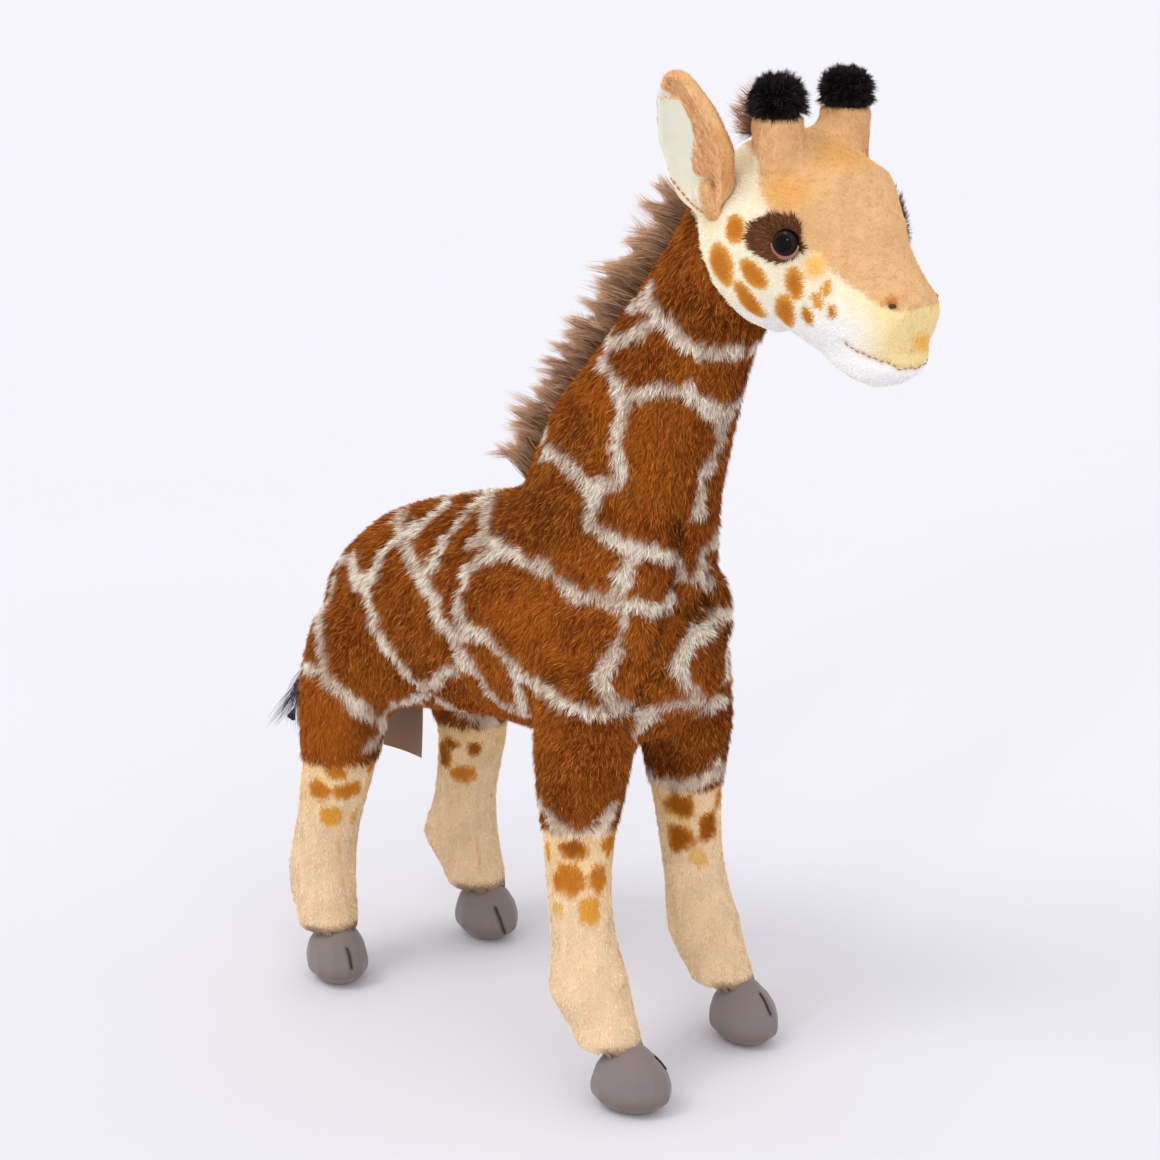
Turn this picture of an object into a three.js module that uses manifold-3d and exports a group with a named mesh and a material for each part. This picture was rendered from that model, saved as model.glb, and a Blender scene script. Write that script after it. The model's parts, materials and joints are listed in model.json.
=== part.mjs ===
// A standing plush giraffe, 630 mm tall: stuffed plush covers over a wire frame that can be bent.
// Millimetres, +Z up, nose along +X. The floor is z = 0 and the origin is under the middle of the toy.
import * as THREE from "three";
import { mergeVertices } from "three/addons/utils/BufferGeometryUtils.js";
import Module from "manifold-3d";

const wasm = await Module();
wasm.setup();

// Clearances and cloth
const GAP = 0.3; // between neighbouring pieces
const RUNNING_GAP = 0.5; // round a wire that turns in its eye
const OVERRUN = 8; // how far a cut runs past what it cuts
const PLUSH = 3; // backing cloth and short pile of a cover

// Where the hooves stand. Places are measured from the middle of the stance.
const FRONT_STANCE = 127;
const REAR_STANCE = 127;
const STANCE_HALF_WIDTH = 60;
const FRONT_STEP = 7.7; // right front hoof ahead, left front hoof back
const REAR_STEP = 9.2; // left hind hoof ahead, right hind hoof back

// Torso
const TORSO_LENGTH = 262;
const TORSO_WIDTH = 120;
const TORSO_DEPTH = 144;
const TORSO_AHEAD = -19;
const TORSO_HEIGHT = 270;
const TORSO_END = 20; // length of the rounded rump and chest ends
// along the back, lift of the middle, half width, half depth
const TORSO_SHARES = [
  [0, -0.21, 0.78, 0.69],
  [0.15, -0.13, 0.98, 0.92],
  [0.42, 0, 0.98, 0.99],
  [0.68, 0.05, 0.96, 1.07],
  [0.88, 0.11, 0.88, 1.03],
  [1, 0.17, 0.76, 0.78],
];

// Neck, and the seat on which it bends
const NECK_RISE = 214;
const NECK_REACH = 104;
const NECK_AHEAD = 71; // foot of the neck from the middle of the torso
const NECK_LIFT = 48;
const NECK_FOOT_AHEAD = TORSO_AHEAD + NECK_AHEAD;
const NECK_FOOT_HEIGHT = TORSO_HEIGHT + NECK_LIFT;
const NECK_FLOOR_SLANT = 0.4; // the pit goes down and back, away from the steep chest
const NECK_FLOOR_LIFT = 7; // up the neck, and under this its foot is cut level
const NECK_FLOOR_HEIGHT = NECK_FOOT_HEIGHT + NECK_FLOOR_LIFT;
const NECK_SINK = 12; // how deep the neck's foot goes into the shoulders
const NECK_WIDTH = 68;
const NECK_DEPTH = 74;
const NECK_END = 14;
const NECK_WELL_FLARE = 1.3; // of the well in the head, over the head's depth
const WELL_ROOM = 1.5; // round the neck's top in that well
const NECK_SIDE_ROOM = 2; // beside the neck in its pit
const NECK_EDGE_ROOM = 4; // ahead of the neck and behind it
const NECK_SWAY = 0.2; // more of that for each millimetre under the hinge
const NECK_END_ROOM = 18; // under the neck in its pit
const NECK_HINGE_AHEAD = 4; // from the foot of the neck
const NECK_HINGE_LIFT = 27; // level with the edge of the neck's pit, so that the gap stays narrow
const NECK_BEND_LIMIT = 10; // degrees each way
// forward, up, half width, half depth
const NECK_SHARES = [
  [0.08, 0, 1.5, 1.88],
  [0.22, 0.28, 1.36, 1.68],
  [0.46, 0.5, 1.16, 1.32],
  [0.69, 0.71, 1.02, 1.03],
  [0.92, 0.88, 0.96, 0.93],
  [1.06, 1, 0.92, 0.9],
];

// Head
const HEAD_LENGTH = 120;
const HEAD_WIDTH = 98;
const HEAD_DEPTH = 116;
const HEAD_REACH = 58; // middle of the head ahead of the top of the neck
const HEAD_DROP = 5;
const HEAD_AHEAD = NECK_FOOT_AHEAD + NECK_REACH + HEAD_REACH;
const HEAD_HEIGHT = NECK_FOOT_HEIGHT + NECK_RISE - HEAD_DROP;
const HEAD_BACK_END = 18;
const NOSE_END = 9;
const HEAD_TURN_LIMIT = 20; // degrees each way
// forward from the middle, lift, half width, half depth
const HEAD_SHARES = [
  [-0.5, 0.14, 0.62, 0.6],
  [-0.36, 0.12, 0.88, 0.86],
  [-0.14, 0.09, 1, 0.99],
  [0.08, 0.03, 0.99, 0.95],
  [0.27, -0.14, 0.71, 0.75],
  [0.42, -0.24, 0.57, 0.58],
  [0.54, -0.3, 0.5, 0.54],
];

// Chin, under the mouth line
const CHIN_LENGTH = 66;
const CHIN_WIDTH = 44;
const CHIN_DEPTH = 30;
const CHIN_REACH = 41; // from the middle of the head
const CHIN_DROP = 51;
const CHIN_AHEAD = HEAD_AHEAD + CHIN_REACH;
const CHIN_HEIGHT = HEAD_HEIGHT - CHIN_DROP;
const CHIN_END = 8;
// forward, lift, half width, half depth
const CHIN_SHARES = [
  [-0.5, 0.5, 0.6, 0.5],
  [-0.2, 0.15, 0.95, 0.9],
  [0.15, -0.05, 1, 1],
  [0.4, 0.05, 0.8, 0.7],
];

// Horns with their black tufts
const HORN_APART = 52;
const HORN_BACK = 4; // behind the middle of the head
const HORN_LIFT = 33; // hidden foot of the stem above the middle of the head
const HORN_LENGTH = 44;
const HORN_AHEAD = HEAD_AHEAD - HORN_BACK;
const HORN_FOOT_HEIGHT = HEAD_HEIGHT + HORN_LIFT;
const HORN_TOP_HEIGHT = HORN_FOOT_HEIGHT + HORN_LENGTH;
const HORN_RADIUS = 14.5;
const HORN_SPLAY = 2.5; // how far the top leans outwards
const TUFT_RADIUS = 15;
const TUFT_HEIGHT = 23;
const TUFT_END = 9;

// Ears: leaf shapes that lean out and back, cupped towards the front
const EAR_LENGTH = 90;
const EAR_WIDTH = 58;
const EAR_THICKNESS = 21; // of the whole cup, from its back to its rims
const EAR_CUP_SHARE = 0.6; // of that, how far the hollow is moved out of the back
const EAR_TIP_END = 5;
const EAR_BACK = 37; // foot of the ear behind the middle of the head
const EAR_LIFT = 18;
const EAR_FOOT_OUT = 35;
const EAR_FOOT_AHEAD = HEAD_AHEAD - EAR_BACK;
const EAR_FOOT_HEIGHT = HEAD_HEIGHT + EAR_LIFT;
// how far the tip lies back and out: the right ear is pricked up, the left one droops
const EAR_LEAN_SHARES = { right: [0.05, 0.37], left: [0.22, 0.7] };
const EAR_FACING = { right: 100, left: 45 }; // degrees that the cup turns from straight ahead
const EAR_LIMIT = 8; // degrees each way
const EAR_HINGE_SHARE = 0.26; // of the ear's length: level with the head's skin
const LINING_THICKNESS = 2;
const LINING_SHARE = 0.8; // of the ear's width
// up the ear, width, thickness
const EAR_SHARES = [
  [0, 0.34, 1],
  [0.24, 0.56, 1],
  [0.5, 1, 0.9],
  [0.75, 0.88, 0.75],
  [0.92, 0.52, 0.6],
];

// Eyes, held by washers behind the cover
const EYE_RADIUS = 7.5;
const EYE_DOME = 4.2;
const EYE_REACH = 18; // from the middle of the head
const EYE_LIFT = 14;
const EYE_AHEAD = HEAD_AHEAD + EYE_REACH;
const EYE_HEIGHT = HEAD_HEIGHT + EYE_LIFT;
const EYE_TOE_IN = 16; // degrees that the eyes look ahead of straight sideways
const EYE_SHANK_RADIUS = 1.6;
const EYE_SHANK_LENGTH = 12;
const WASHER_RADIUS = 7;
const WASHER_THICKNESS = 1.6;
const EYE_PATCH_LENGTH = 44;
const EYE_PATCH_HEIGHT = 30;
const EYE_PATCH_BACK = 7;
const EYE_PATCH_LIFT = 2;
const EYE_PATCH_PILE = 2.4;
const EYELID_WIDTH = 1.5;
const EYELID_TURN = 137; // degrees of the eye's rim that the lower lid runs round

// Mane and forelock
const MANE_THICKNESS = 14;
const MANE_HAIR = 30;
const MANE_END = 8;
const MANE_ROOM = 6; // left for the head to turn
const MANE_FOOT_ROOM = 14; // left for the neck to bend
const MANE_LIFT_SHARE = 0.2; // of the hair, from the neck's skin to the middle of the mane
// up the neck, half depth
const MANE_SHARES = [
  [0.06, 0.6],
  [0.3, 0.8],
  [0.52, 0.8],
  [0.74, 0.8],
  [0.97, 0.65],
];
const FORELOCK_HEIGHT = 30;
const FORELOCK_RADIUS = 8;
const FORELOCK_BEHIND_HORNS = 20;
// lift, half width, half depth
const FORELOCK_SHARES = [
  [-1, 1.1, 1],
  [-0.4, 1, 0.9],
  [0, 0.6, 0.5],
];

// Tail
const TAIL_BEHIND = 151; // root of the tail from the middle of the torso
const TAIL_SINK = 34;
const TAIL_ROOT_BACK = TAIL_BEHIND - TORSO_AHEAD;
const TAIL_ROOT_HEIGHT = TORSO_HEIGHT - TAIL_SINK;
const TAIL_RADIUS = 6;
const TAIL_DROP = 42;
const TAIL_BACK = 52;
const TAIL_DROOP = 1.4; // the tail leaves the rump level and then falls
const TAIL_TUFT_RADIUS = 9;
const TAIL_TUFT_LENGTH = 54;
const TAIL_TUFT_BACK = 28;
const TAIL_FORWARD_LIMIT = 8;
const TAIL_BACK_LIMIT = 16;
const TAIL_ROOM = 0.9;
// along, radius
const TAIL_SHARES = [
  [0, 0.6],
  [0.35, 0.9],
  [0.7, 1],
  [1, 1],
];
const TAIL_TUFT_SHARES = [
  [0, 0.7],
  [0.4, 1],
  [0.75, 0.7],
  [1, 0.25],
];

// Label sewn into the belly seam
const LABEL_WIDTH = 38;
const LABEL_DROP = 46;
const LABEL_THICKNESS = 0.8;
const LABEL_BEHIND = 113; // from the middle of the torso
const LABEL_AHEAD = TORSO_AHEAD - LABEL_BEHIND;

// Legs
const HIP_HALF_WIDTH = 42;
const FRONT_HIP_REACH = 99; // from the middle of the torso
const FRONT_HIP_DROP = 16;
const REAR_HIP_REACH = 108;
const REAR_HIP_DROP = 30;
const FRONT_HIP_AHEAD = TORSO_AHEAD + FRONT_HIP_REACH;
const FRONT_HIP_HEIGHT = TORSO_HEIGHT - FRONT_HIP_DROP;
const REAR_HIP_BACK = REAR_HIP_REACH - TORSO_AHEAD;
const REAR_HIP_HEIGHT = TORSO_HEIGHT - REAR_HIP_DROP;
const ANKLE_HEIGHT = 33;
const FRONT_ANKLE_BACK = 16; // ankle behind the middle of the hoof
const REAR_ANKLE_BACK = 6;
const LEG_WIDTH = 42;
const LEG_DEPTH = 46;
const LEG_BOW = 17;
const LEG_TOP_END = 20;
const LEG_LIMIT = 10; // degrees each way
const LEG_ROOM = 6; // left for the thigh to swing beside the belly
const FRONT_FUR_EDGE = 165; // height where the brown fur meets the pale plush
const REAR_FUR_EDGE = 155;
// down the leg, out to the hoof, forward bow, half width, half depth
const FRONT_LEG_SHARES = [
  [0, 0, 0, 1.3, 1.25],
  [0.18, 0.23, -0.38, 1.32, 1.36],
  [0.4, 0.51, -0.8, 1.06, 1.02],
  [0.6, 0.74, -1, 0.92, 0.88],
  [0.72, 0.82, -0.95, 0.92, 0.92],
  [0.83, 0.88, -0.8, 0.96, 1.16],
  [0.93, 0.95, -0.3, 0.93, 0.92],
  [1, 1, 0, 0.92, 0.88],
];
const REAR_LEG_SHARES = [
  [0, 0, 0, 1.3, 1.4],
  [0.19, 0.4, -0.2, 1.33, 1.42],
  [0.41, 0.8, 0, 1.14, 1.08],
  [0.64, 0.85, -0.5, 0.98, 0.93],
  [0.83, 0.9, -0.7, 0.99, 1.1],
  [0.93, 0.96, -0.3, 0.95, 0.95],
  [1, 1, -0.1, 0.93, 0.9],
];

// Hooves
const HOOF_LENGTH = 53;
const HOOF_WIDTH = 41;
const HOOF_HEIGHT = 37;
const HOOF_TOP_END = 4;
const INSOLE_RADIUS = 11;
const INSOLE_THICKNESS = 1.6;
const INSOLE_HEIGHT = 5;
const HEEL_BEND = 7; // how far the leg wire runs behind the middle of the hoof
// up, half width, half length
const HOOF_SHARES = [
  [0, 0.56, 0.58],
  [0.1, 0.82, 0.84],
  [0.35, 1, 1],
  [0.62, 0.95, 0.94],
  [0.86, 0.72, 0.72],
  [1, 0.46, 0.5],
];

// Wire frame
const WIRE_RADIUS = 1.6;
const EYE_LOOP_RADIUS = 4.2; // of the eyes bent at the wires' ends
const HEAD_WIRE_LENGTH = 22; // how far the neck wire runs into the head
const STAPLE_HALF_WIDTH = 9; // of the bar that the neck wire's eye turns on
const WIRE_LEAN = 18; // degrees that a wire may lean in its slot besides the joint's own turn
const NECK_WIRE_SHARES = [0.35, 0.55, 0.8]; // where the wires follow the middle of a limb
const LEG_WIRE_SHARES = [0.25, 0.45, 0.65, 0.85, 1];

// How finely the shapes are cut into flats
const BIG_SIDES = 18;
const LIMB_SIDES = 12;
const SMALL_SIDES = 10;
const WIRE_SIDES = 6;
const DOME_RINGS = 2;
const FINENESS = 0.02; // facets smaller than this are merged

const SIDEWAYS = new THREE.Vector3(0, 1, 0);
const UP = new THREE.Vector3(0, 0, 1);
const DOWNWARDS = -Math.PI / 2; // angles in a fan start from ahead

const HANDS = [
  ["right", -1],
  ["left", 1],
];

const at = (x, y, z) => new THREE.Vector3(x, y, z);

// Solids and geometries

function solidOf(geometry) {
  const bare = new THREE.BufferGeometry();
  const whole = geometry.index ? geometry.toNonIndexed() : geometry;
  bare.setAttribute("position", whole.getAttribute("position").clone());
  const merged = mergeVertices(bare);
  return new wasm.Manifold(
    new wasm.Mesh({
      numProp: 3,
      vertProperties: merged.attributes.position.array,
      triVerts: new Uint32Array(merged.index.array),
    }),
  );
}

// The largest body of a solid, because a cut can leave a sliver behind.
function geometryOf(solid) {
  const bodies = solid.decompose().sort((a, b) => b.volume() - a.volume());
  const mesh = bodies[0].simplify(FINENESS).getMesh();
  const geometry = new THREE.BufferGeometry();
  geometry.setAttribute("position", new THREE.BufferAttribute(mesh.vertProperties, mesh.numProp));
  geometry.setIndex(new THREE.BufferAttribute(mesh.triVerts, 1));
  geometry.computeVertexNormals();
  return geometry;
}

const cut = (solid, ...tools) => tools.reduce((left, tool) => left.subtract(tool), solid);

const joined = (solids) => solids.reduce((all, next) => all.add(next));

// A closed body through elliptical rings along a smooth line, with a dome on each end.
// A station is a place with its half width, along side, and its half depth, square to that.
function swell({ stations, side = SIDEWAYS, rings, sides, startEnd, endEnd }, grow = 0) {
  const line = new THREE.CatmullRomCurve3(stations.map((s) => s.at));
  const halves = new THREE.CatmullRomCurve3(stations.map((s) => at(s.across, s.deep, 0)));
  const loops = [];
  const addRing = (t, offset, scale) => {
    const tangent = line.getTangent(t);
    const up = tangent.clone().cross(side).normalize();
    const out = up.clone().cross(tangent).normalize();
    const centre = line.getPoint(t).addScaledVector(tangent, offset);
    const half = halves.getPoint(t);
    const ring = [];
    for (let k = 0; k < sides; k++) {
      const angle = (2 * Math.PI * k) / sides;
      const point = centre.clone();
      point.addScaledVector(out, Math.cos(angle) * (half.x + grow) * scale);
      point.addScaledVector(up, Math.sin(angle) * (half.y + grow) * scale);
      ring.push(point);
    }
    loops.push(ring);
  };
  const addDome = (t, length, way) => {
    for (let j = 1; j <= DOME_RINGS; j++) {
      const order = way < 0 ? DOME_RINGS + 1 - j : j;
      const angle = ((Math.PI / 2) * order) / (DOME_RINGS + 1);
      addRing(t, way * length * Math.sin(angle), Math.cos(angle));
    }
  };
  const first = startEnd ? startEnd + grow : 0;
  const last = endEnd ? endEnd + grow : 0;
  if (first) addDome(0, first, -1);
  for (let i = 0; i <= rings; i++) addRing(i / rings, 0, 1);
  if (last) addDome(1, last, 1);
  const startPole = line.getPoint(0).addScaledVector(line.getTangent(0), first ? -first : -grow);
  const endPole = line.getPoint(1).addScaledVector(line.getTangent(1), last ? last : grow);
  if (!first) loops[0].forEach((p) => p.addScaledVector(line.getTangent(0), -grow));
  if (!last) loops.at(-1).forEach((p) => p.addScaledVector(line.getTangent(1), grow));
  return closedThrough(loops, startPole, endPole);
}

function closedThrough(loops, startPole, endPole) {
  const sides = loops[0].length;
  const points = [startPole, ...loops.flat(), endPole];
  const faces = [];
  const index = (ring, k) => 1 + ring * sides + (k % sides);
  const end = points.length - 1;
  for (let k = 0; k < sides; k++) {
    faces.push(0, index(0, k + 1), index(0, k));
    faces.push(end, index(loops.length - 1, k), index(loops.length - 1, k + 1));
    for (let ring = 0; ring + 1 < loops.length; ring++) {
      const [a, b] = [index(ring, k), index(ring, k + 1)];
      const [c, d] = [index(ring + 1, k + 1), index(ring + 1, k)];
      faces.push(a, b, c, a, c, d);
    }
  }
  const geometry = new THREE.BufferGeometry().setFromPoints(points);
  geometry.setIndex(faces);
  geometry.computeVertexNormals();
  return geometry;
}

// A wire along a line of points, with flat ends.
function wireAlong(points, grow = 0) {
  const radius = WIRE_RADIUS + grow;
  const stations = points.map((p) => ({ at: p, across: radius, deep: radius }));
  const rings = points.length - 1;
  return swell({ stations, rings, sides: WIRE_SIDES, startEnd: 0, endEnd: 0, side: wireSide(points) }, 0);
}

// Any direction that the wire never runs along.
function wireSide(points) {
  const run = points.at(-1).clone().sub(points[0]).normalize();
  return Math.abs(run.y) > Math.SQRT1_2 ? UP : SIDEWAYS;
}

const straight = (from, to) => [from, from.clone().lerp(to, 0.5), to];

// The eye bent at a wire's end, round a bar that runs sideways.
function eyeLoop(point, grow = 0) {
  const loop = new THREE.TorusGeometry(EYE_LOOP_RADIUS, WIRE_RADIUS + grow, WIRE_SIDES, SMALL_SIDES);
  loop.rotateX(Math.PI / 2);
  loop.translate(point.x, point.y, point.z);
  return loop;
}

// A flat slice of a disc about a sideways hinge, which gives a wire room to turn.
function fan(hinge, radius, fromAngle, toAngle, thickness, shift = 0) {
  const shape = new THREE.Shape();
  shape.moveTo(0, 0);
  shape.absarc(0, 0, radius, fromAngle, toAngle, false);
  shape.lineTo(0, 0);
  const slice = new THREE.ExtrudeGeometry(shape, {
    depth: thickness,
    bevelEnabled: false,
    curveSegments: DOME_RINGS * DOME_RINGS,
  });
  slice.translate(0, 0, -thickness / 2);
  slice.rotateX(Math.PI / 2);
  slice.translate(hinge.x, hinge.y + shift, hinge.z);
  return slice;
}

// The parts of space above and below a height, as large blocks.
function slab(height, way) {
  const size = TORSO_LENGTH + NECK_RISE;
  const block = new THREE.BoxGeometry(2 * size, 2 * size, size);
  return solidOf(block.translate(0, 0, height + (way * size) / 2));
}
const above = (height) => slab(height, 1);
const below = (height) => slab(height, -1);

// The room in which an eye turns about its bar.
function loopRoom(point, thickness) {
  const radius = EYE_LOOP_RADIUS + WIRE_RADIUS + RUNNING_GAP;
  const disc = new THREE.CylinderGeometry(radius, radius, thickness, SMALL_SIDES);
  return disc.translate(point.x, point.y, point.z);
}

// A ball, longer along some axes.
function ball(centre, halves, sides) {
  const geometry = new THREE.SphereGeometry(1, sides, Math.round(sides / 2));
  geometry.scale(...halves);
  geometry.translate(centre.x, centre.y, centre.z);
  return geometry;
}

// Materials

const plush = (color) => new THREE.MeshStandardMaterial({ color, roughness: 0.95, metalness: 0 });
const MATERIALS = {
  fur: plush(0x8f4a17),
  pale: plush(0xe8c690),
  face: plush(0xe6b377),
  chin: plush(0xf3ead8),
  lining: plush(0xe4e4d2),
  tuft: plush(0x1c1310),
  mane: plush(0x7a573f),
  patch: plush(0x4a2c18),
  eyelid: plush(0x9a6a58),
  hoof: plush(0x6b6568),
  label: plush(0x8c8780),
  fibre: plush(0xf4f4f0),
  tail: plush(0x14161b),
  eye: new THREE.MeshStandardMaterial({ color: 0x0a0706, roughness: 0.08, metalness: 0 }),
  plastic: new THREE.MeshStandardMaterial({ color: 0xdedede, roughness: 0.5, metalness: 0 }),
  wire: new THREE.MeshStandardMaterial({ color: 0xb6b8ba, roughness: 0.35, metalness: 1 }),
};

const toy = new THREE.Group();
toy.name = "plush_giraffe";

function add(name, geometry, material) {
  const mesh = new THREE.Mesh(geometry, MATERIALS[material]);
  mesh.name = name;
  toy.add(mesh);
  return mesh;
}

// Forms of the soft bodies

const torsoForm = {
  stations: TORSO_SHARES.map(([along, lift, across, deep]) => ({
    at: at(TORSO_AHEAD + (along - 0.5) * TORSO_LENGTH, 0, TORSO_HEIGHT + lift * TORSO_DEPTH),
    across: (across * TORSO_WIDTH) / 2,
    deep: (deep * TORSO_DEPTH) / 2,
  })),
  rings: 11,
  sides: BIG_SIDES,
  startEnd: TORSO_END,
  endEnd: TORSO_END,
};

const neckForm = {
  stations: NECK_SHARES.map(([forward, up, across, deep]) => ({
    at: at(NECK_FOOT_AHEAD + forward * NECK_REACH, 0, NECK_FOOT_HEIGHT + up * NECK_RISE),
    across: (across * NECK_WIDTH) / 2,
    deep: (deep * NECK_DEPTH) / 2,
  })),
  rings: 8,
  sides: BIG_SIDES,
  startEnd: NECK_END,
  endEnd: NECK_END,
};

const headForm = {
  stations: HEAD_SHARES.map(([forward, lift, across, deep]) => ({
    at: at(HEAD_AHEAD + forward * HEAD_LENGTH, 0, HEAD_HEIGHT + lift * HEAD_DEPTH),
    across: (across * HEAD_WIDTH) / 2,
    deep: (deep * HEAD_DEPTH) / 2,
  })),
  rings: 10,
  sides: BIG_SIDES,
  startEnd: HEAD_BACK_END,
  endEnd: NOSE_END,
};

// The neck: its foot rocks in a pit in the shoulders, and the head turns on its upper end

const neckHinge = { point: at(NECK_FOOT_AHEAD + NECK_HINGE_AHEAD, 0, NECK_FOOT_HEIGHT + NECK_HINGE_LIFT), axis: SIDEWAYS };
const neckLine = new THREE.CatmullRomCurve3(neckForm.stations.map((s) => s.at));
const neckTop = neckLine.getPoint(1);
const neckTopWay = neckLine.getTangent(1);
const headHinge = { point: neckTop, axis: neckTopWay };

const neckWireTop = neckTop.clone().addScaledVector(neckTopWay, NECK_END + HEAD_WIRE_LENGTH);
const neckWirePoints = [
  neckHinge.point.clone().add(at(0, 0, EYE_LOOP_RADIUS + WIRE_RADIUS / 2)),
  ...NECK_WIRE_SHARES.map((t) => neckLine.getPoint(t)),
  neckTop,
  neckWireTop,
];
const neckWire = (grow) =>
  joined([solidOf(wireAlong(neckWirePoints, grow)), solidOf(eyeLoop(neckHinge.point, grow))]);

const slot = 2 * (WIRE_RADIUS + RUNNING_GAP);
const stapleSlot = slot + 2 * STAPLE_HALF_WIDTH;
const stapleTurn = THREE.MathUtils.degToRad(NECK_BEND_LIMIT + WIRE_LEAN);
const stapleRoom = joined([
  solidOf(fan(neckHinge.point, TORSO_DEPTH, DOWNWARDS - stapleTurn, DOWNWARDS + stapleTurn, stapleSlot)),
  solidOf(loopRoom(neckHinge.point, stapleSlot)),
]);
const shoulders = solidOf(swell(torsoForm));
const neckFloor = (depth) =>
  shoulders.translate(-depth * NECK_FLOOR_SLANT, 0, -depth).add(below(NECK_FLOOR_HEIGHT - depth));
const neckInside = solidOf(swell(neckForm, -PLUSH));
const neckCover = cut(solidOf(swell(neckForm)), neckInside, neckFloor(NECK_SINK), neckWire(GAP));
const neckStuffing = cut(
  solidOf(swell(neckForm, -PLUSH - GAP)),
  neckFloor(NECK_SINK),
  neckWire(GAP),
  stapleRoom,
);
add("neck_cover", geometryOf(neckCover), "fur");
add("neck_stuffing", geometryOf(neckStuffing), "fibre");
add("neck_wire", geometryOf(neckWire(0)), "wire");

// The well in the head that the neck's top turns in, round about the turning axis

function neckWell() {
  const { across, deep } = neckForm.stations.at(-1);
  const radius = Math.max(across, deep) + WELL_ROOM;
  const stations = [1, 0.5, 0].map((share) => {
    const wide = radius * THREE.MathUtils.lerp(1, NECK_WELL_FLARE, share);
    const place = neckTop.clone().addScaledVector(neckTopWay, -share * HEAD_DEPTH);
    return { at: place, across: wide, deep: wide };
  });
  const endEnd = NECK_END + WELL_ROOM;
  return solidOf(swell({ stations, rings: 2, sides: BIG_SIDES, startEnd: 0, endEnd }));
}
const neckPastHead = neckWell();
const boreEnd = neckWireTop.clone().addScaledVector(neckTopWay, GAP);
const headWireBore = solidOf(wireAlong(straight(neckTop, boreEnd), GAP));

// Eyes

function eyePlace(hand) {
  const place = new THREE.Object3D();
  const toeIn = THREE.MathUtils.degToRad(EYE_TOE_IN);
  const out = at(Math.sin(toeIn), hand * Math.cos(toeIn), 0);
  const middle = at(EYE_AHEAD, 0, EYE_HEIGHT);
  const ray = new THREE.Raycaster(middle.clone().add(at(0, hand * HEAD_WIDTH, 0)), at(0, -hand, 0));
  const skin = new THREE.Mesh(swell(headForm));
  const hit = ray.intersectObject(skin)[0];
  place.position.copy(hit.point);
  place.quaternion.setFromUnitVectors(UP, out);
  place.updateMatrix();
  return place;
}

// Dome and shank turned as one piece about the eye's own axis.
function eyeGeometry(grow = 0) {
  const profile = [at(0, -EYE_SHANK_LENGTH - grow, 0)];
  profile.push(at(EYE_SHANK_RADIUS + grow, -EYE_SHANK_LENGTH - grow, 0));
  profile.push(at(EYE_SHANK_RADIUS + grow, -WIRE_RADIUS - grow, 0));
  profile.push(at(EYE_RADIUS + grow, -WIRE_RADIUS - grow, 0));
  const STEPS = 4;
  for (let i = 0; i <= STEPS; i++) {
    const angle = ((Math.PI / 2) * i) / STEPS;
    const radius = i === STEPS ? 0 : Math.cos(angle) * (EYE_RADIUS + grow);
    profile.push(at(radius, Math.sin(angle) * (EYE_DOME + grow), 0));
  }
  const lathe = new THREE.LatheGeometry(
    profile.map((p) => new THREE.Vector2(p.x, p.y)),
    SMALL_SIDES,
  );
  return lathe.rotateX(Math.PI / 2);
}

function washerGeometry(grow = 0) {
  const inner = EYE_SHANK_RADIUS + GAP - grow;
  const outer = WASHER_RADIUS + grow;
  const low = -PLUSH - WASHER_THICKNESS - 2 * GAP - grow;
  const high = -PLUSH - 2 * GAP + grow;
  const profile = [
    [inner, low],
    [outer, low],
    [outer, high],
    [inner, high],
    [inner, low],
  ];
  const lathe = new THREE.LatheGeometry(
    profile.map(([radius, height]) => new THREE.Vector2(radius, height)),
    SMALL_SIDES,
  );
  return lathe.rotateX(Math.PI / 2);
}

const placed = (geometry, place) => geometry.clone().applyMatrix4(place.matrix);

const eyes = HANDS.map(([side, hand]) => {
  const place = eyePlace(hand);
  const socket = solidOf(placed(eyeGeometry(GAP), place));
  const washerRoom = solidOf(placed(washerGeometry(GAP), place));
  return { side, hand, place, socket, washerRoom };
});

// A thin patch of longer pile that follows the head round the eye
function eyePatch(eye) {
  const middle = eye.place.position.clone().add(at(-EYE_PATCH_BACK, 0, EYE_PATCH_LIFT));
  const halves = [EYE_PATCH_LENGTH / 2, HEAD_WIDTH / 4, EYE_PATCH_HEIGHT / 2];
  const tool = solidOf(ball(middle, halves, LIMB_SIDES));
  const outer = tool.intersect(solidOf(swell(headForm, EYE_PATCH_PILE)));
  return cut(outer, solidOf(swell(headForm, GAP)), eye.socket);
}

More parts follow.
